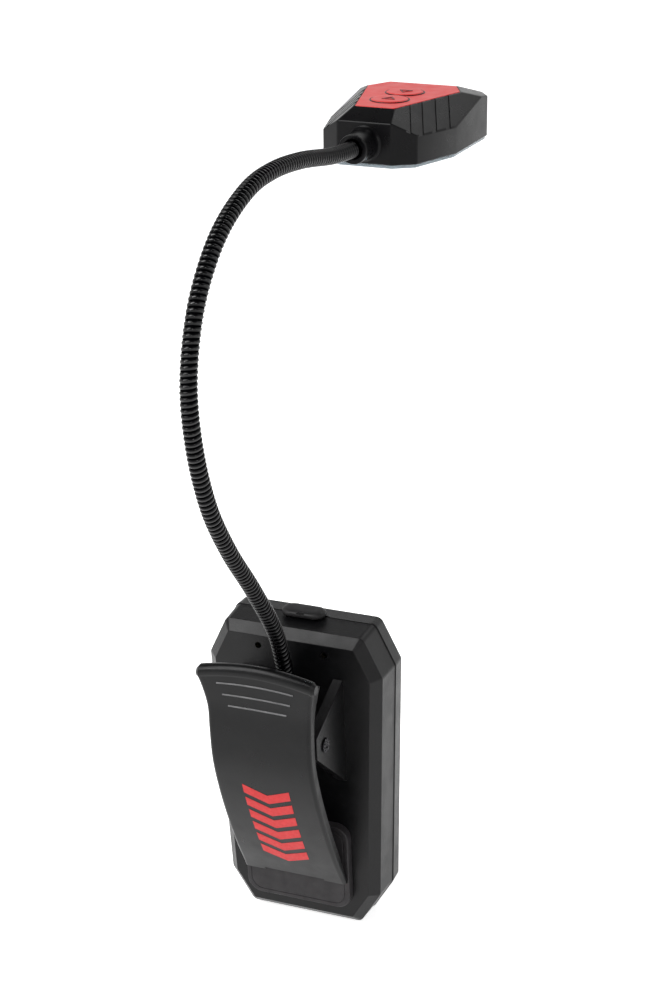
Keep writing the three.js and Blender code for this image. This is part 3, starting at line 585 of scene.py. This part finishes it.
HALF_HEIGHT = 50.0
HALF_WIDTH = 26.7
TAPER = 0.04
TOP_CUT = (6.5, 12.3)
BOTTOM_CUT = (6.4, 11.1)
CORNER_RADIUS = 2.2
RIM_BEVEL = 2.9
PARTING_Y = 11.8
PARTING_FLARE = 0.45
COVER_STEP = 0.25
FRONT_BEVEL_Y = 17.0
DEPTH = 20.0
WALL = 1.8
PARTING_GAP = 0.12
COVER_DRAFT = 0.25
PORT_Y = 11.0
PORT_HOLE_HALF_WIDTH = 5.2
PORT_HOLE_HALF_DEPTH = 2.4
SCREW_SPOTS = [(-18, 38), (18, 38), (-15.5, -39), (15.5, -39)]
INDICATOR_SPOTS = [(-10.7, 43.8), (10.7, 43.8)]
INDICATOR_HOLE_RADIUS = 1.05
PIVOT_Y, PIVOT_Z = -15.0, 22.9
PIN_HOLE_RADIUS = 1.7
EAR_INNER, EAR_OUTER = 13.3, 16.6
EAR_PROFILE = [(1, 1), (1, 37), (-20.6, 27.8), (-20.6, 20.6)]
NECK_MOUTH = Vector((0, -2.9, 34))
NECK_WAY = Vector((0, -0.37, 0.929)).normalized()
NECK_BORE_RADIUS = 3.25


def housing_outline(distance):
    """The tapered eight-sided outline of the housing, moved inwards by a distance."""
    def half_width(z):
        return HALF_WIDTH + TAPER * z

    top_z = HALF_HEIGHT - TOP_CUT[1]
    bottom_z = -HALF_HEIGHT + BOTTOM_CUT[1]
    right = [(half_width(-HALF_HEIGHT) - BOTTOM_CUT[0], -HALF_HEIGHT), (half_width(bottom_z), bottom_z),
             (half_width(top_z), top_z), (half_width(HALF_HEIGHT) - TOP_CUT[0], HALF_HEIGHT)]
    left = [(-x, z) for x, z in reversed(right)]
    return rounded(inset(right + left, distance), max(CORNER_RADIUS - distance * 0.5, 0.6), 7)


def port_hole():
    return block(-PORT_HOLE_HALF_WIDTH, PORT_HOLE_HALF_WIDTH, PORT_Y - PORT_HOLE_HALF_DEPTH,
                 PORT_Y + PORT_HOLE_HALF_DEPTH, HALF_HEIGHT - 6, HALF_HEIGHT + 10)


def pin_hole():
    return rod((-30, PIVOT_Y, PIVOT_Z), (30, PIVOT_Y, PIVOT_Z), PIN_HOLE_RADIUS)


def build_rear_shell():
    """The clip side: a bevelled shell with two hinge ears and the boss that the gooseneck comes out of."""
    edge_y = PARTING_Y - PARTING_GAP
    outside = eased([(RIM_BEVEL + 6, 0), (RIM_BEVEL, 0), (0, RIM_BEVEL), (-PARTING_FLARE, edge_y)], 0.35)
    inside = [(WALL - PARTING_FLARE, edge_y), (WALL, RIM_BEVEL + 1), (RIM_BEVEL + WALL, WALL)]
    shell = slab(housing_outline, "y", outside + inside)
    steps = []
    for side in (-1, 1):
        low, high = sorted((side * EAR_INNER, side * EAR_OUTER))
        steps.append(("UNION", prism(rounded(EAR_PROFILE, 0.8, 5), "x", low, high, 0.3)))
    boss = turned([(4.4, -14), (4.4, -0.5), (4.25, -0.15), (3.9, 0)], NECK_MOUTH, NECK_WAY)
    steps.append(("UNION", cut(boss, block(-10, 10, 1.0, 30, 0, 60))))
    bore = rod(NECK_MOUTH - NECK_WAY * 20, NECK_MOUTH + NECK_WAY * 5, NECK_BORE_RADIUS)
    steps.extend(("DIFFERENCE", tool) for tool in (bore, pin_hole(), port_hole()))
    for x, z in INDICATOR_SPOTS:
        steps.append(("DIFFERENCE", rod((x, -1, z), (x, 4, z), INDICATOR_HOLE_RADIUS)))
    piece("rear_shell", combine(shell, steps), BASE, "black_shell", "base", "rear_housing")


def build_cover():
    """The other half, which stands a little proud along the parting line."""
    edge_y = PARTING_Y + PARTING_GAP
    out = -PARTING_FLARE - COVER_STEP
    outside = eased([(out + 0.18, edge_y), (out, PARTING_Y + 0.3), (out + COVER_DRAFT, FRONT_BEVEL_Y),
                     (RIM_BEVEL - PARTING_FLARE, DEPTH), (RIM_BEVEL + 6, DEPTH)], 0.12)
    inside = [(RIM_BEVEL + WALL, DEPTH - WALL), (WALL, FRONT_BEVEL_Y - 1), (WALL - PARTING_FLARE, edge_y)]
    cover = slab(housing_outline, "y", inside + outside)
    screw_well = [(1.35, 0), (1.35, 3), (2.5, 3), (2.5, 5.9), (2.8, 6.2)]
    wells = [turned(screw_well, (x, DEPTH - 6.05, z), (0, 1, 0)) for x, z in SCREW_SPOTS]
    piece("cover_shell", cut(cover, port_hole(), *wells), BASE, "black_shell", "base", "front_cover")


def build_jaw_pad():
    """A rubber pad with softened edges and a shallow groove around its face."""
    half_width, height, radius = 17.3, 29.0, 4.5
    groove_inset, groove_width, groove_depth = 1.3, 0.5, 0.15

    def outline(d):
        corners = rectangle(-half_width, half_width, PAD_CENTRE_Z - height / 2, PAD_CENTRE_Z + height / 2)
        return rounded(inset(corners, d), max(radius - d * 0.5, 0.8), 8)

    face = -PAD_THICKNESS
    groove_end = groove_inset + groove_width
    groove = [(groove_inset, face), (groove_inset + 0.08, face + 0.05),
              (groove_inset + 0.12, face + groove_depth), (groove_end - 0.12, face + groove_depth),
              (groove_end - 0.08, face + 0.05), (groove_end, face)]
    profile = [(0, -0.12), (0, face + 0.5), (0.06, face + 0.25), (0.22, face + 0.07), (0.5, face), *groove]
    piece("pad", slab(outline, "y", profile), BASE, "rubber", "base", "jaw_pad")


def build_port_cover():
    """The rubber plug over the charging port: a crowned cap, a stem in the hole and a finger notch."""
    half_width, half_depth, seat_gap = 7.0, 3.4, 0.25
    bottom = HALF_HEIGHT + PARTING_FLARE + COVER_STEP + seat_gap

    def stadium(d):
        corners = rectangle(-half_width + d, half_width - d, PORT_Y - half_depth + d, PORT_Y + half_depth - d)
        return rounded(corners, half_depth - d - 0.05, 10)

    def notch(d):
        return rounded(rectangle(-1.2 - d, 1.2 + d, PORT_Y - 5 - d, PORT_Y - 2.7 + d), 0.4)

    crown = [(0.35, 0), (0.05, 0.2), (0, 0.7), (0.12, 1.1), (0.4, 1.4), (0.85, 1.6), (1.5, 1.7), (2.6, 1.75)]
    cap = slab(stadium, "z", [(d, bottom + h) for d, h in crown])
    stem_outline = rounded(rectangle(-3.9, 3.9, PORT_Y - 1.3, PORT_Y + 1.3), 1.2)
    stem = prism(stem_outline, "z", bottom - 1.7, bottom + 0.5)
    dent = slab(notch, "z", [(0, bottom + 1.1), (0.3, bottom + 3)])
    plug = combine(cap, [("UNION", stem), ("DIFFERENCE", dent)])
    piece("port_plug", plug, BASE, "port_rubber", "port_flap", "port_cover", slot="rubber")


# ---------------------------------------------------------------- clip

LEVER_WALL = 1.9
LEVER_EDGE = 1.3
LEVER_LEAST_DEPTH = 0.9
LEVER_FACE = [(-26.6, 47.2), (-25.6, 41), (-24.8, 35), (-25.1, 27), (-24.6, 18), (-21.9, 7), (-17.3, -6),
              (-11, -20.5), (-4.9, -32.2)]
FLANGE_EDGE = [(-21.6, 46.6), (-21.4, 41), (-21.6, 35), (-21.9, 27), (-21.4, 18), (-18.6, 7), (-14, -6),
               (-8, -20.5), (-3.9, -30.6)]
LEVER_SIDE = [(19.6, 51.3), (18.9, 46.5), (17.7, 41.5), (16.7, 35), (16.4, 27), (16.5, 8), (17, -35.2)]
LIP_RADIUS = 2.2
LIP_CENTRE = (-24.4, 46.2)
LIP_ARCH = 2.4
ARCH_FROM = 30.0
FOOT_Z = -32.2
GRIP_LINE_PROUD = 0.32
GRIP_LINES = [(12.2, 43.2), (10.8, 39.7), (9.3, 36.2)]


def by_height(points):
    """A function of z through (value, z) points, smooth, held straight on past its ends."""
    curve = spline(points, 200)
    curve.sort(key=lambda p: p[1])

    def value(z):
        j = 1
        while j < len(curve) - 1 and curve[j][1] < z:
            j += 1
        (a, low), (b, high) = curve[j - 1], curve[j]
        return between(a, b, (z - low) / (high - low))

    return value


lever_face = by_height(LEVER_FACE)
flange_edge = by_height(FLANGE_EDGE)
lever_side = by_height(LEVER_SIDE)


def arch(x, z):
    """How far the lever's top stands up in its middle."""
    t = max(0.0, min(1.0, (z - ARCH_FROM) / (LIP_CENTRE[1] - ARCH_FROM)))
    return LIP_ARCH * (1 - (x / LEVER_SIDE[1][0]) ** 2) * t * t


def eased_edge(half, front, ease):
    """The quarter round between the lever's side and its face, from the side on."""
    angles = [math.pi / 2 * k / 6 for k in range(1, 6)]
    return [(-half + ease * (1 - math.cos(a)), front + ease * (1 - math.sin(a))) for a in angles]


def lever_section(z):
    """The channel cut level at a height: the face with eased edges, and a flange on each side."""
    spans = 14
    half = lever_side(z)
    front = lever_face(z)
    back = max(flange_edge(z), front + LEVER_LEAST_DEPTH)
    inner = min(front + LEVER_WALL, back - 0.05)
    ease = min(LEVER_EDGE, (back - front) * 0.6)
    edge = eased_edge(half, front, ease)
    points = [(-half, back), (-half, front + ease), *edge]
    points.extend((between(-half + ease, half - ease, k / spans), front) for k in range(spans + 1))
    points.extend((-x, y) for x, y in reversed(edge))
    points.extend([(half, front + ease), (half, back), (half - LEVER_WALL, back)])
    points.extend((between(half - LEVER_WALL, LEVER_WALL - half, k / spans), inner) for k in range(spans + 1))
    points.append((-half + LEVER_WALL, back))
    return [(x, y, z + arch(x, z)) for x, y in points]


def grip_section(x, z):
    """One cut through a grip line: its upper side slopes at 45 degrees."""
    face, height = lever_face(z), z + arch(x, z)
    proud = GRIP_LINE_PROUD
    return [(x, face + 0.4, height + proud + 0.4), (x, face - proud, height),
            (x, face - proud, height - 0.12), (x, face + 0.4, height - 0.3)]


def lip_bead():
    """The round bead along the arched top, with rounded ends."""
    across, end = 40, 0.8
    centre_y, centre_z = LIP_CENTRE
    half = lever_side(centre_z)
    rings = []
    for k in range(across + 1):
        x = between(-half, half, k / across)
        room = half - abs(x)
        radius = LIP_RADIUS
        if room <= end:
            radius += math.sqrt(max(end ** 2 - (end - room) ** 2, 0.0)) - end
        z = centre_z + arch(x, centre_z)
        rings.append([(x, centre_y + radius * c, z + radius * s) for c, s in circle(1.0, 32)])
    return loft(rings)


def lever_ear():
    """The outline of a hinge ear: a tongue that ends round the pivot."""
    radius, arc_steps, root_y, root_half = 4.4, 16, -23.4, 8
    outline = [(root_y, PIVOT_Z + root_half), (root_y, PIVOT_Z - root_half)]
    for k in range(arc_steps + 1):
        a = math.pi * k / arc_steps - math.pi / 2
        outline.append((PIVOT_Y + radius * math.cos(a), PIVOT_Z + radius * math.sin(a)))
    return outline


def build_lever():
    stations = 70
    heights = [between(FOOT_Z, LIP_CENTRE[1], k / stations) for k in range(stations + 1)]
    steps = [("UNION", lip_bead())]
    for low, high in ((-12.9, -10.5), (10.5, 12.9)):
        steps.append(("UNION", prism(lever_ear(), "x", low, high)))
    foot_notch = block(-9.9, 9.9, -20, 0, FOOT_Z - 3, FOOT_Z + 0.9)
    steps.extend([("DIFFERENCE", pin_hole()), ("DIFFERENCE", foot_notch)])
    channel = loft([lever_section(z) for z in heights])
    piece("lever", combine(channel, steps), BASE, "lever_plastic", "lever", "clip_lever")


def build_grip_lines():
    """Three raised lines near the top, coloured lighter than the lever as a painted highlight."""
    spans = 24
    lines = []
    for reach, z in GRIP_LINES:
        lines.append(loft([grip_section(between(-reach, reach, k / spans), z) for k in range(spans + 1)]))
    # the grip lines' lighter colour is a painted highlight
    piece("lever_grip_lines", weld(*lines), BASE, "grip_highlight_plastic", "lever", slot="lever_plastic")


def build_graphic():
    """Printed chevrons, a generic mark, lying on the lever's face."""
    count, half, thick, step, slope, top = 6, 7.6, 3.5, 5.4, 0.42, 9.0
    mark = bmesh.new()
    for i in range(count):
        rings = []
        for k in range(17):
            x = between(-half, half, k / 16)
            rows = [top - i * step - slope * (half - abs(x)) - thick * j / 4 for j in range(5)]
            front = [(x, lever_face(z) - 0.07, z) for z in rows]
            back = [(x, lever_face(z) + 0.05, z) for z in reversed(rows)]
            rings.append(front + back)
        bar = as_object("bar", loft(rings))
        mark.from_mesh(bar.data)
        bpy.data.objects.remove(bar)
    piece("lever_graphic", mark, BASE, "red_ink", "lever", slot="red_plastic")


def build_pin_and_nut():
    """The pin through the ears, with radial notches in its head, and the nut on its other end."""
    seat = EAR_OUTER + 0.25
    pin_head = [(1.5, -2 * seat - 0.15), (1.5, 0), (2.2, 0), (2.2, 0.35), (2.05, 0.5), (1.0, 0.5), (0.9, 0.2)]
    pin = turned(pin_head, (seat, PIVOT_Y, PIVOT_Z), (1, 0, 0))
    notches = []
    teeth = 10
    centre = Vector((seat + 0.55, PIVOT_Y, PIVOT_Z))
    for k in range(teeth):
        a = 2 * math.pi * k / teeth
        out = Vector((0, math.cos(a), math.sin(a)))
        notches.append(rod(centre + out * 1.3, centre + out * 2.6, 0.3, 10))
    piece("pin", cut(pin, *notches), BASE, "dark_steel", "base", "pivot_pin")
    nut = turned([(1.75, 0), (2.2, 0), (2.2, 0.7), (2.05, 1.0), (1.2, 1.0), (1.2, 0.45), (1.75, 0.45)],
                 (-seat, PIVOT_Y, PIVOT_Z), (-1, 0, 0), closed=True)
    piece("nut", nut, BASE, "dark_steel", "base", "pivot_nut")


def build_spring():
    """A torsion coil round the pin, with one arm on the lever and one on the housing."""
    coil, wire, turns, half, arm = 3.4, 0.6, 6, 5.4, 6.3
    path = [Vector((-arm, -21.6, 41.2)), Vector((-arm, -20.6, 34))]
    start, end = math.radians(100), math.radians(40) + turns * 2 * math.pi
    total = turns * 14
    for k in range(total + 1):
        a = between(start, end, k / total)
        x = between(-half, half, k / total)
        path.append(Vector((x, PIVOT_Y - coil * math.sin(a), PIVOT_Z + coil * math.cos(a))))
    path.extend([Vector((arm, -9.6, 28.5)), Vector((arm, -1.2, 33.5))])
    spring = finish_piece("spring", tube(spline(path, 420), wire, 10), BASE, "steel")
    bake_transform(spring)
    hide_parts("clip_spring")


def build_lever_pad():
    """The rubber block behind the lever's foot, a little clear of the jaw pad."""
    pad_front = -0.4 - PAD_THICKNESS
    foot = rounded([(-6.9, -22.6), (-4.15, -29.6), (pad_front, -30.6), (pad_front, -24.6)], 0.3, 4)
    piece("lever_foot_pad", prism(foot, "x", -9.6, 9.6, 0.25), BASE, "rubber", "lever", "lever_pad")


# ---------------------------------------------------------------- gooseneck

NECK_RADIUS = 2.52
NECK_SEGMENTS = 12
NECK_END_ROOM = 0.4
RIB_PITCH = 1.63
RIB_DEPTH = 0.5
WIRE_DEPTH = 0.22
WIDE_WIRE = 0.72
NARROW_WIRE = 0.36
RINGS_PER_RIB = 14
NECK_SIDES = 28
NECK_LINE = [(-2.9, 34), (-4.7, 39.6), (-9.7, 54.2), (-22.9, 74.4), (-37.6, 94.1), (-47.8, 111.7),
             (-53.9, 132.2), (-54.6, 150), (-48.8, 166.7), (-39.9, 177.5),
             (-28.9, 185.1), (-11.8, 190.4), (3.6, 190.8), (22.6, 188.3), (46, 183.1), (60.16, 180.96)]


def winding_depth(u):
    """Depth under the full radius: a wide round wire, with a narrow one between its turns."""
    wide = RIB_DEPTH * (1 - math.sqrt(max(0.0, 1 - (u / WIDE_WIRE) ** 2)))
    v = (1 - abs(u)) / NARROW_WIRE
    narrow = WIRE_DEPTH + (RIB_DEPTH - WIRE_DEPTH) * (1 - math.sqrt(max(0.0, 1 - v * v)))
    return min(wide, narrow)


def point_at(line, length, s):
    """The point of an evenly spaced line at a distance along it."""
    last = len(line) - 1
    return line[max(0, min(last, round(s / length * last)))]


def neck_rings(line, length, low, high):
    """Rings of the winding between two distances, and how close each point lies to a crest."""
    fine = len(line) - 1
    rows = max(2, round((high - low) / RIB_PITCH * RINGS_PER_RIB))
    rings = []
    crests = []
    side = Vector((1, 0, 0))
    for r in range(rows + 1):
        s = between(low, high, r / rows)
        exact = s / length * fine
        i = min(int(exact), fine - 1)
        centre = between(line[i], line[i + 1], exact - i)
        ahead = point_at(line, length, s + 0.4) - point_at(line, length, s - 0.4)
        out = ahead.normalized().cross(side)
        ring = []
        for n in range(NECK_SIDES):
            a = 2 * math.pi * n / NECK_SIDES
            u = 2 * ((s / RIB_PITCH - n / NECK_SIDES) % 1.0) - 1
            radius = NECK_RADIUS - winding_depth(u)
            crests.append(1 - abs(u))
            ring.append(centre + side * (radius * math.cos(a)) + out * (radius * math.sin(a)))
        rings.append(ring)
    return rings, crests


def build_neck():
    """Thirteen stretches of winding along the gooseneck's line."""
    line = spline([(0, y, z) for y, z in NECK_LINE], 4000)
    length = sum((b - a).length for a, b in zip(line, line[1:]))
    pitch = (length - NECK_END_ROOM) / NECK_SEGMENTS

    for k in range(NECK_SEGMENTS + 1):
        low = max((k - 0.5) * pitch, 0.0)
        high = min((k + 0.5) * pitch, length - 0.1)
        rings, crests = neck_rings(line, length, low, high)
        part = finish_piece(f"neck_{k:02d}_ribs", loft(rings), BASE, "neck_steel", crease=80)
        # closeness to a crest, which drives the painted glints and groove shade of the neck's finish
        part.data.attributes.new("crest", "FLOAT", "POINT").data.foreach_set("value", crests)
        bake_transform(part)
        if k:
            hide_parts(f"neck_segment_{k:02d}")


# ---------------------------------------------------------------- head

HEAD_HEIGHT = 15.58
HEAD_EDGE = 0.45
HEAD_PLAN = [(8.75, 0), (15.26, 4.45), (20.82, 23.29), (20.34, 52.88), (17.3, 56.5)]
SIDE_SLOPE = 1.36
CORNER_SLOPE = 0.312
RIDGE = [(6.85, 7.66), (16.06, 41), (11.56, 50)]
SIDE_MEETS_CORNER_Y = 46.9
PANEL_BORDER = 0.45
PANEL_PROUD = 0.15
PANEL_CORNER = 0.4
PANEL_GAP = 0.18
BUTTON_RADIUS = 5.85
BUTTONS_Y = (20.6, 33.4)
BUTTON_PROUD = 0.55
BUTTON_GAP = 0.36
TRIANGLE_SIZE = 2.3
TRIANGLE_INNER = 1.45
CHANNEL_WIDTH = 1.9
CHANNEL_DEPTH = 0.3
CHANNEL_EASE = 0.12
CHANNEL_LENGTH = 24.0
CHANNEL_START_X = 13.6
CHANNEL_START_SLOPE = 0.3
CHANNEL_STARTS = (1.2, 6.9, 13.2, 19.7)
CHANNEL_WAY = (-4.0, 9.5)
COLLAR_Z = 6.1
COLLAR_SOCKET_RADIUS = 4.7


def side_height(x, y):
    """Height of a side bevel's plane."""
    (rear_x, rear_y), (wide_x, wide_y), _ = RIDGE
    edge = rear_x + (wide_x - rear_x) * (y - rear_y) / (wide_y - rear_y)
    return HEAD_HEIGHT - (x - edge) / SIDE_SLOPE


def corner_height(x, y):
    """Height of a front corner bevel's plane."""
    along = (Vector(RIDGE[2]) - Vector(RIDGE[1])).normalized()
    reach = (Vector((x, y)) - Vector(RIDGE[1])).dot(Vector((along.y, -along.x)))
    return HEAD_HEIGHT - CORNER_SLOPE * reach


def head_corners():
    """The corners of the faceted head, both sides."""
    rear, rear_side, widest, front_side, nose = HEAD_PLAN
    share = (SIDE_MEETS_CORNER_Y - widest[1]) / (front_side[1] - widest[1])
    meet_x = between(widest[0], front_side[0], share)
    half = [(x, y, 0) for x, y in HEAD_PLAN]
    for x, y in (rear, rear_side, widest, (meet_x, SIDE_MEETS_CORNER_Y)):
        half.append((x, y, side_height(x, y)))
    for x, y in (front_side, nose):
        half.append((x, y, corner_height(x, y)))
    half.extend((x, y, HEAD_HEIGHT) for x, y in RIDGE)
    return [(sign * x, y, z) for x, y, z in half for sign in (1, -1)]


def hull(points):
    mesh = bmesh.new()
    for p in points:
        mesh.verts.new(p)
    made = bmesh.ops.convex_hull(mesh, input=mesh.verts)
    loose = [g for g in made["geom_interior"] + made["geom_unused"] if isinstance(g, bmesh.types.BMVert)]
    bmesh.ops.delete(mesh, geom=loose, context="VERTS")
    bmesh.ops.dissolve_limit(mesh, angle_limit=math.radians(0.6), verts=mesh.verts, edges=mesh.edges)
    return mesh


def panel_outline(distance):
    """The red inlay's outline, moved inwards by a distance from the edges of the head's flat top."""
    (rx, ry), (wx, wy), (fx, fy) = RIDGE
    corners = [(-rx, ry), (rx, ry), (wx, wy), (fx, fy), (-fx, fy), (-wx, wy)]
    return rounded(inset(corners, distance), PANEL_CORNER, 4)


def side_channel(side, start_y):
    """A shallow straight channel across a side bevel, as a tool that cuts it."""
    def on_bevel(x, y):
        return Vector((side * x, y, side_height(x, y)))

    x = CHANNEL_START_X + CHANNEL_START_SLOPE * start_y
    a = on_bevel(x, start_y)
    b = on_bevel(x + CHANNEL_WAY[0], start_y + CHANNEL_WAY[1])
    along = (b - a).normalized()
    out = (on_bevel(x, start_y + 1) - a).cross(along).normalized()
    out = out if out.z > 0 else -out
    across = along.cross(out)
    middle = (a + b) / 2
    reach, half = along * (CHANNEL_LENGTH / 2), across * (CHANNEL_WIDTH / 2)
    low, high = out * -CHANNEL_DEPTH, out * 1.5
    ease = across * CHANNEL_EASE
    return loft([[middle + end - half + ease + low, middle + end + half - ease + low,
                  middle + end + half + high, middle + end - half + high] for end in (-reach, reach)])


def build_head():
    """The faceted shell, hollow from below, with openings for the inlay, the buttons and the collar."""
    shell = bevelled(hull(head_corners()), HEAD_EDGE)
    middle_y = HEAD_PLAN[-1][1] / 2
    narrower, shorter, lower = 0.92, 0.93, 0.82
    hollow = hull([(x * narrower, middle_y + (y - middle_y) * shorter, z * lower if z > 0 else -2)
                   for x, y, z in head_corners()])
    recess = slab(lambda d: panel_outline(PANEL_BORDER + d), "z",
                  [(0, HEAD_HEIGHT - 1.5), (0, HEAD_HEIGHT + 2)])
    steps = [("DIFFERENCE", hollow), ("DIFFERENCE", recess)]
    steps.append(("DIFFERENCE", rod((0, -3, COLLAR_Z), (0, 4, COLLAR_Z), COLLAR_SOCKET_RADIUS)))
    for y in BUTTONS_Y:
        steps.append(("DIFFERENCE", rod((0, y, 8), (0, y, 17), BUTTON_RADIUS + 0.5)))
    steps.extend(("DIFFERENCE", side_channel(side, y)) for side in (-1, 1) for y in CHANNEL_STARTS)
    piece("head_body", combine(shell, steps), HEAD, "head_shell", "head", "head_shell", slot="black_shell")


def build_panel():
    """The red inlay with its two buttons, whose triangles point away from each other."""
    top = HEAD_HEIGHT + PANEL_PROUD
    plate = slab(lambda d: panel_outline(PANEL_BORDER + PANEL_GAP + d), "z",
                 eased([(0, HEAD_HEIGHT - 1.2), (0, top), (4, top)], 0.2))
    holes = [rod((0, y, 8), (0, y, 20), BUTTON_RADIUS + BUTTON_GAP, 64) for y in BUTTONS_Y]
    piece("inlay", cut(plate, *holes), HEAD, "red_plastic", "head", "button_panel")
    for number, y, way in zip((1, 2), BUTTONS_Y, (1, -1)):
        build_button(number, y, way)


def build_button(number, y, way):
    """A round button with a raised triangle coloured dark red as painted shade of recessed lines, and a dark
    ring between it and the panel as painted shade of the gap.
    """
    top = HEAD_HEIGHT + BUTTON_PROUD
    profile = [(1.6, -3.2), (1.6, -2), (BUTTON_RADIUS, -2), (BUTTON_RADIUS, -0.4),
               (BUTTON_RADIUS - 0.12, -0.15), (BUTTON_RADIUS - 0.4, -0.02),
               (BUTTON_RADIUS - 0.9, 0), (0.5, 0)]
    cap = turned(profile, (0, y, top), (0, 0, 1), 72)

    def triangle(size):
        corners = [(-size, y - size * 0.62 * way), (size, y - size * 0.62 * way), (0, y + size * way)]
        return rounded(corners if way > 0 else corners[::-1], 0.2, 3)

    outer, inner = triangle(TRIANGLE_SIZE), triangle(TRIANGLE_INNER)
    low, high = top - 0.2, top + 0.16
    walls = ((outer, low), (outer, high), (inner, high), (inner, low))
    mark = loft([[(a, b, h) for a, b in outline] for outline, h in walls], closed=True)
    piece(f"key_{number}", cap, HEAD, "red_plastic", f"button_{number}", f"button_{number}")
    # the triangle's dark red is painted shade of recessed lines
    piece(f"key_mark_{number}", mark, HEAD, "groove_shade_red", f"button_{number}", slot="red_plastic")

    # painted shade: a dark ring stands in for the shadow in the gap between the button and the panel
    inner_radius, outer_radius = BUTTON_RADIUS + 0.07, BUTTON_RADIUS + 0.42
    gap_shade_ring_profile = [(inner_radius, -0.3), (outer_radius, -0.3), (outer_radius, 0.12),
                    (outer_radius - 0.15, 0.34), (inner_radius, 0.38)]
    gap_shade_ring = turned(gap_shade_ring_profile, (0, y, HEAD_HEIGHT), (0, 0, 1), 72, closed=True)
    piece(f"key_gap_shade_ring_{number}", gap_shade_ring, HEAD, "head_shell", "head", slot="black_shell")


def build_collar():
    """The bell-shaped sleeve that the gooseneck enters."""
    profile = [(4.6, 2.9), (4.6, -0.02), (5.5, -0.02), (5.5, -0.1), (5.1, -0.4), (4.8, -0.9), (4.6, -1.7),
               (4.4, -3.0), (4.3, -7.9), (4.45, -8.0), (4.5, -8.2), (4.5, -8.9), (4.42, -9.1), (4.25, -9.2),
               (3.3, -9.2), (3.1, -9.1), (3.0, -8.8), (3.0, 1.9)]
    bell = turned(profile, (0, 0, COLLAR_Z), (0, 1, 0), 64)
    piece("collar", bell, HEAD, "head_shell", "head", "head_collar", slot="black_shell")


def build_lens():
    """The clear plate under the head, with a shallow recess on the side of the lamps."""
    outline = HEAD_PLAN + [(-x, y) for x, y in reversed(HEAD_PLAN)]
    flange = slab(lambda d: rounded(inset(outline, 0.7 + d), 0.5, 4), "z",
                  [(2.5, -1.15), (0.5, -1.15), (0.15, -1.05), (0, -0.85), (0, -0.15)])
    dish = slab(lambda d: rounded(rectangle(-13 - d, 13 + d, 11 - d, 50 + d), 4, 6), "z",
                [(0, -0.25), (0.4, 1.0)])
    piece("lens_plate", cut(flange, dish), HEAD, "lens_clear", "head", "lens")


def finish_frame_nodes():
    """The CAD pieces that stay as they are get their own finishes."""
    looks = {"usb_receptacle": "steel", "control_board": "board_green", "battery": "cell_wrap",
             "neck_base_ferrule": "steel", "led_board": "board_white"}
    looks.update({f"housing_screw_{i}": "dark_steel" for i in range(1, 5)})
    looks.update({f"head_screw_{i}": "dark_steel" for i in (1, 2)})
    looks.update({f"indicator_led_{i}": "led_yellow" for i in (1, 2)})
    looks.update({f"button_switch_{i}": "white_plastic" for i in (1, 2)})
    looks.update({f"lamp_led_{i}": "led_yellow" for i in range(1, 7)})
    for node, finish in looks.items():
        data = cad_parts[node].data
        data.materials.clear()
        data.materials.append(finishes[finish].material)


# ---------------------------------------------------------------- the lamp

set_stage()
finishes = make_finishes()
build_rear_shell()
build_cover()
build_jaw_pad()
build_port_cover()
build_lever()
build_grip_lines()
build_graphic()
build_pin_and_nut()
build_spring()
build_lever_pad()
build_neck()
build_head()
build_panel()
build_collar()
build_lens()
finish_frame_nodes()
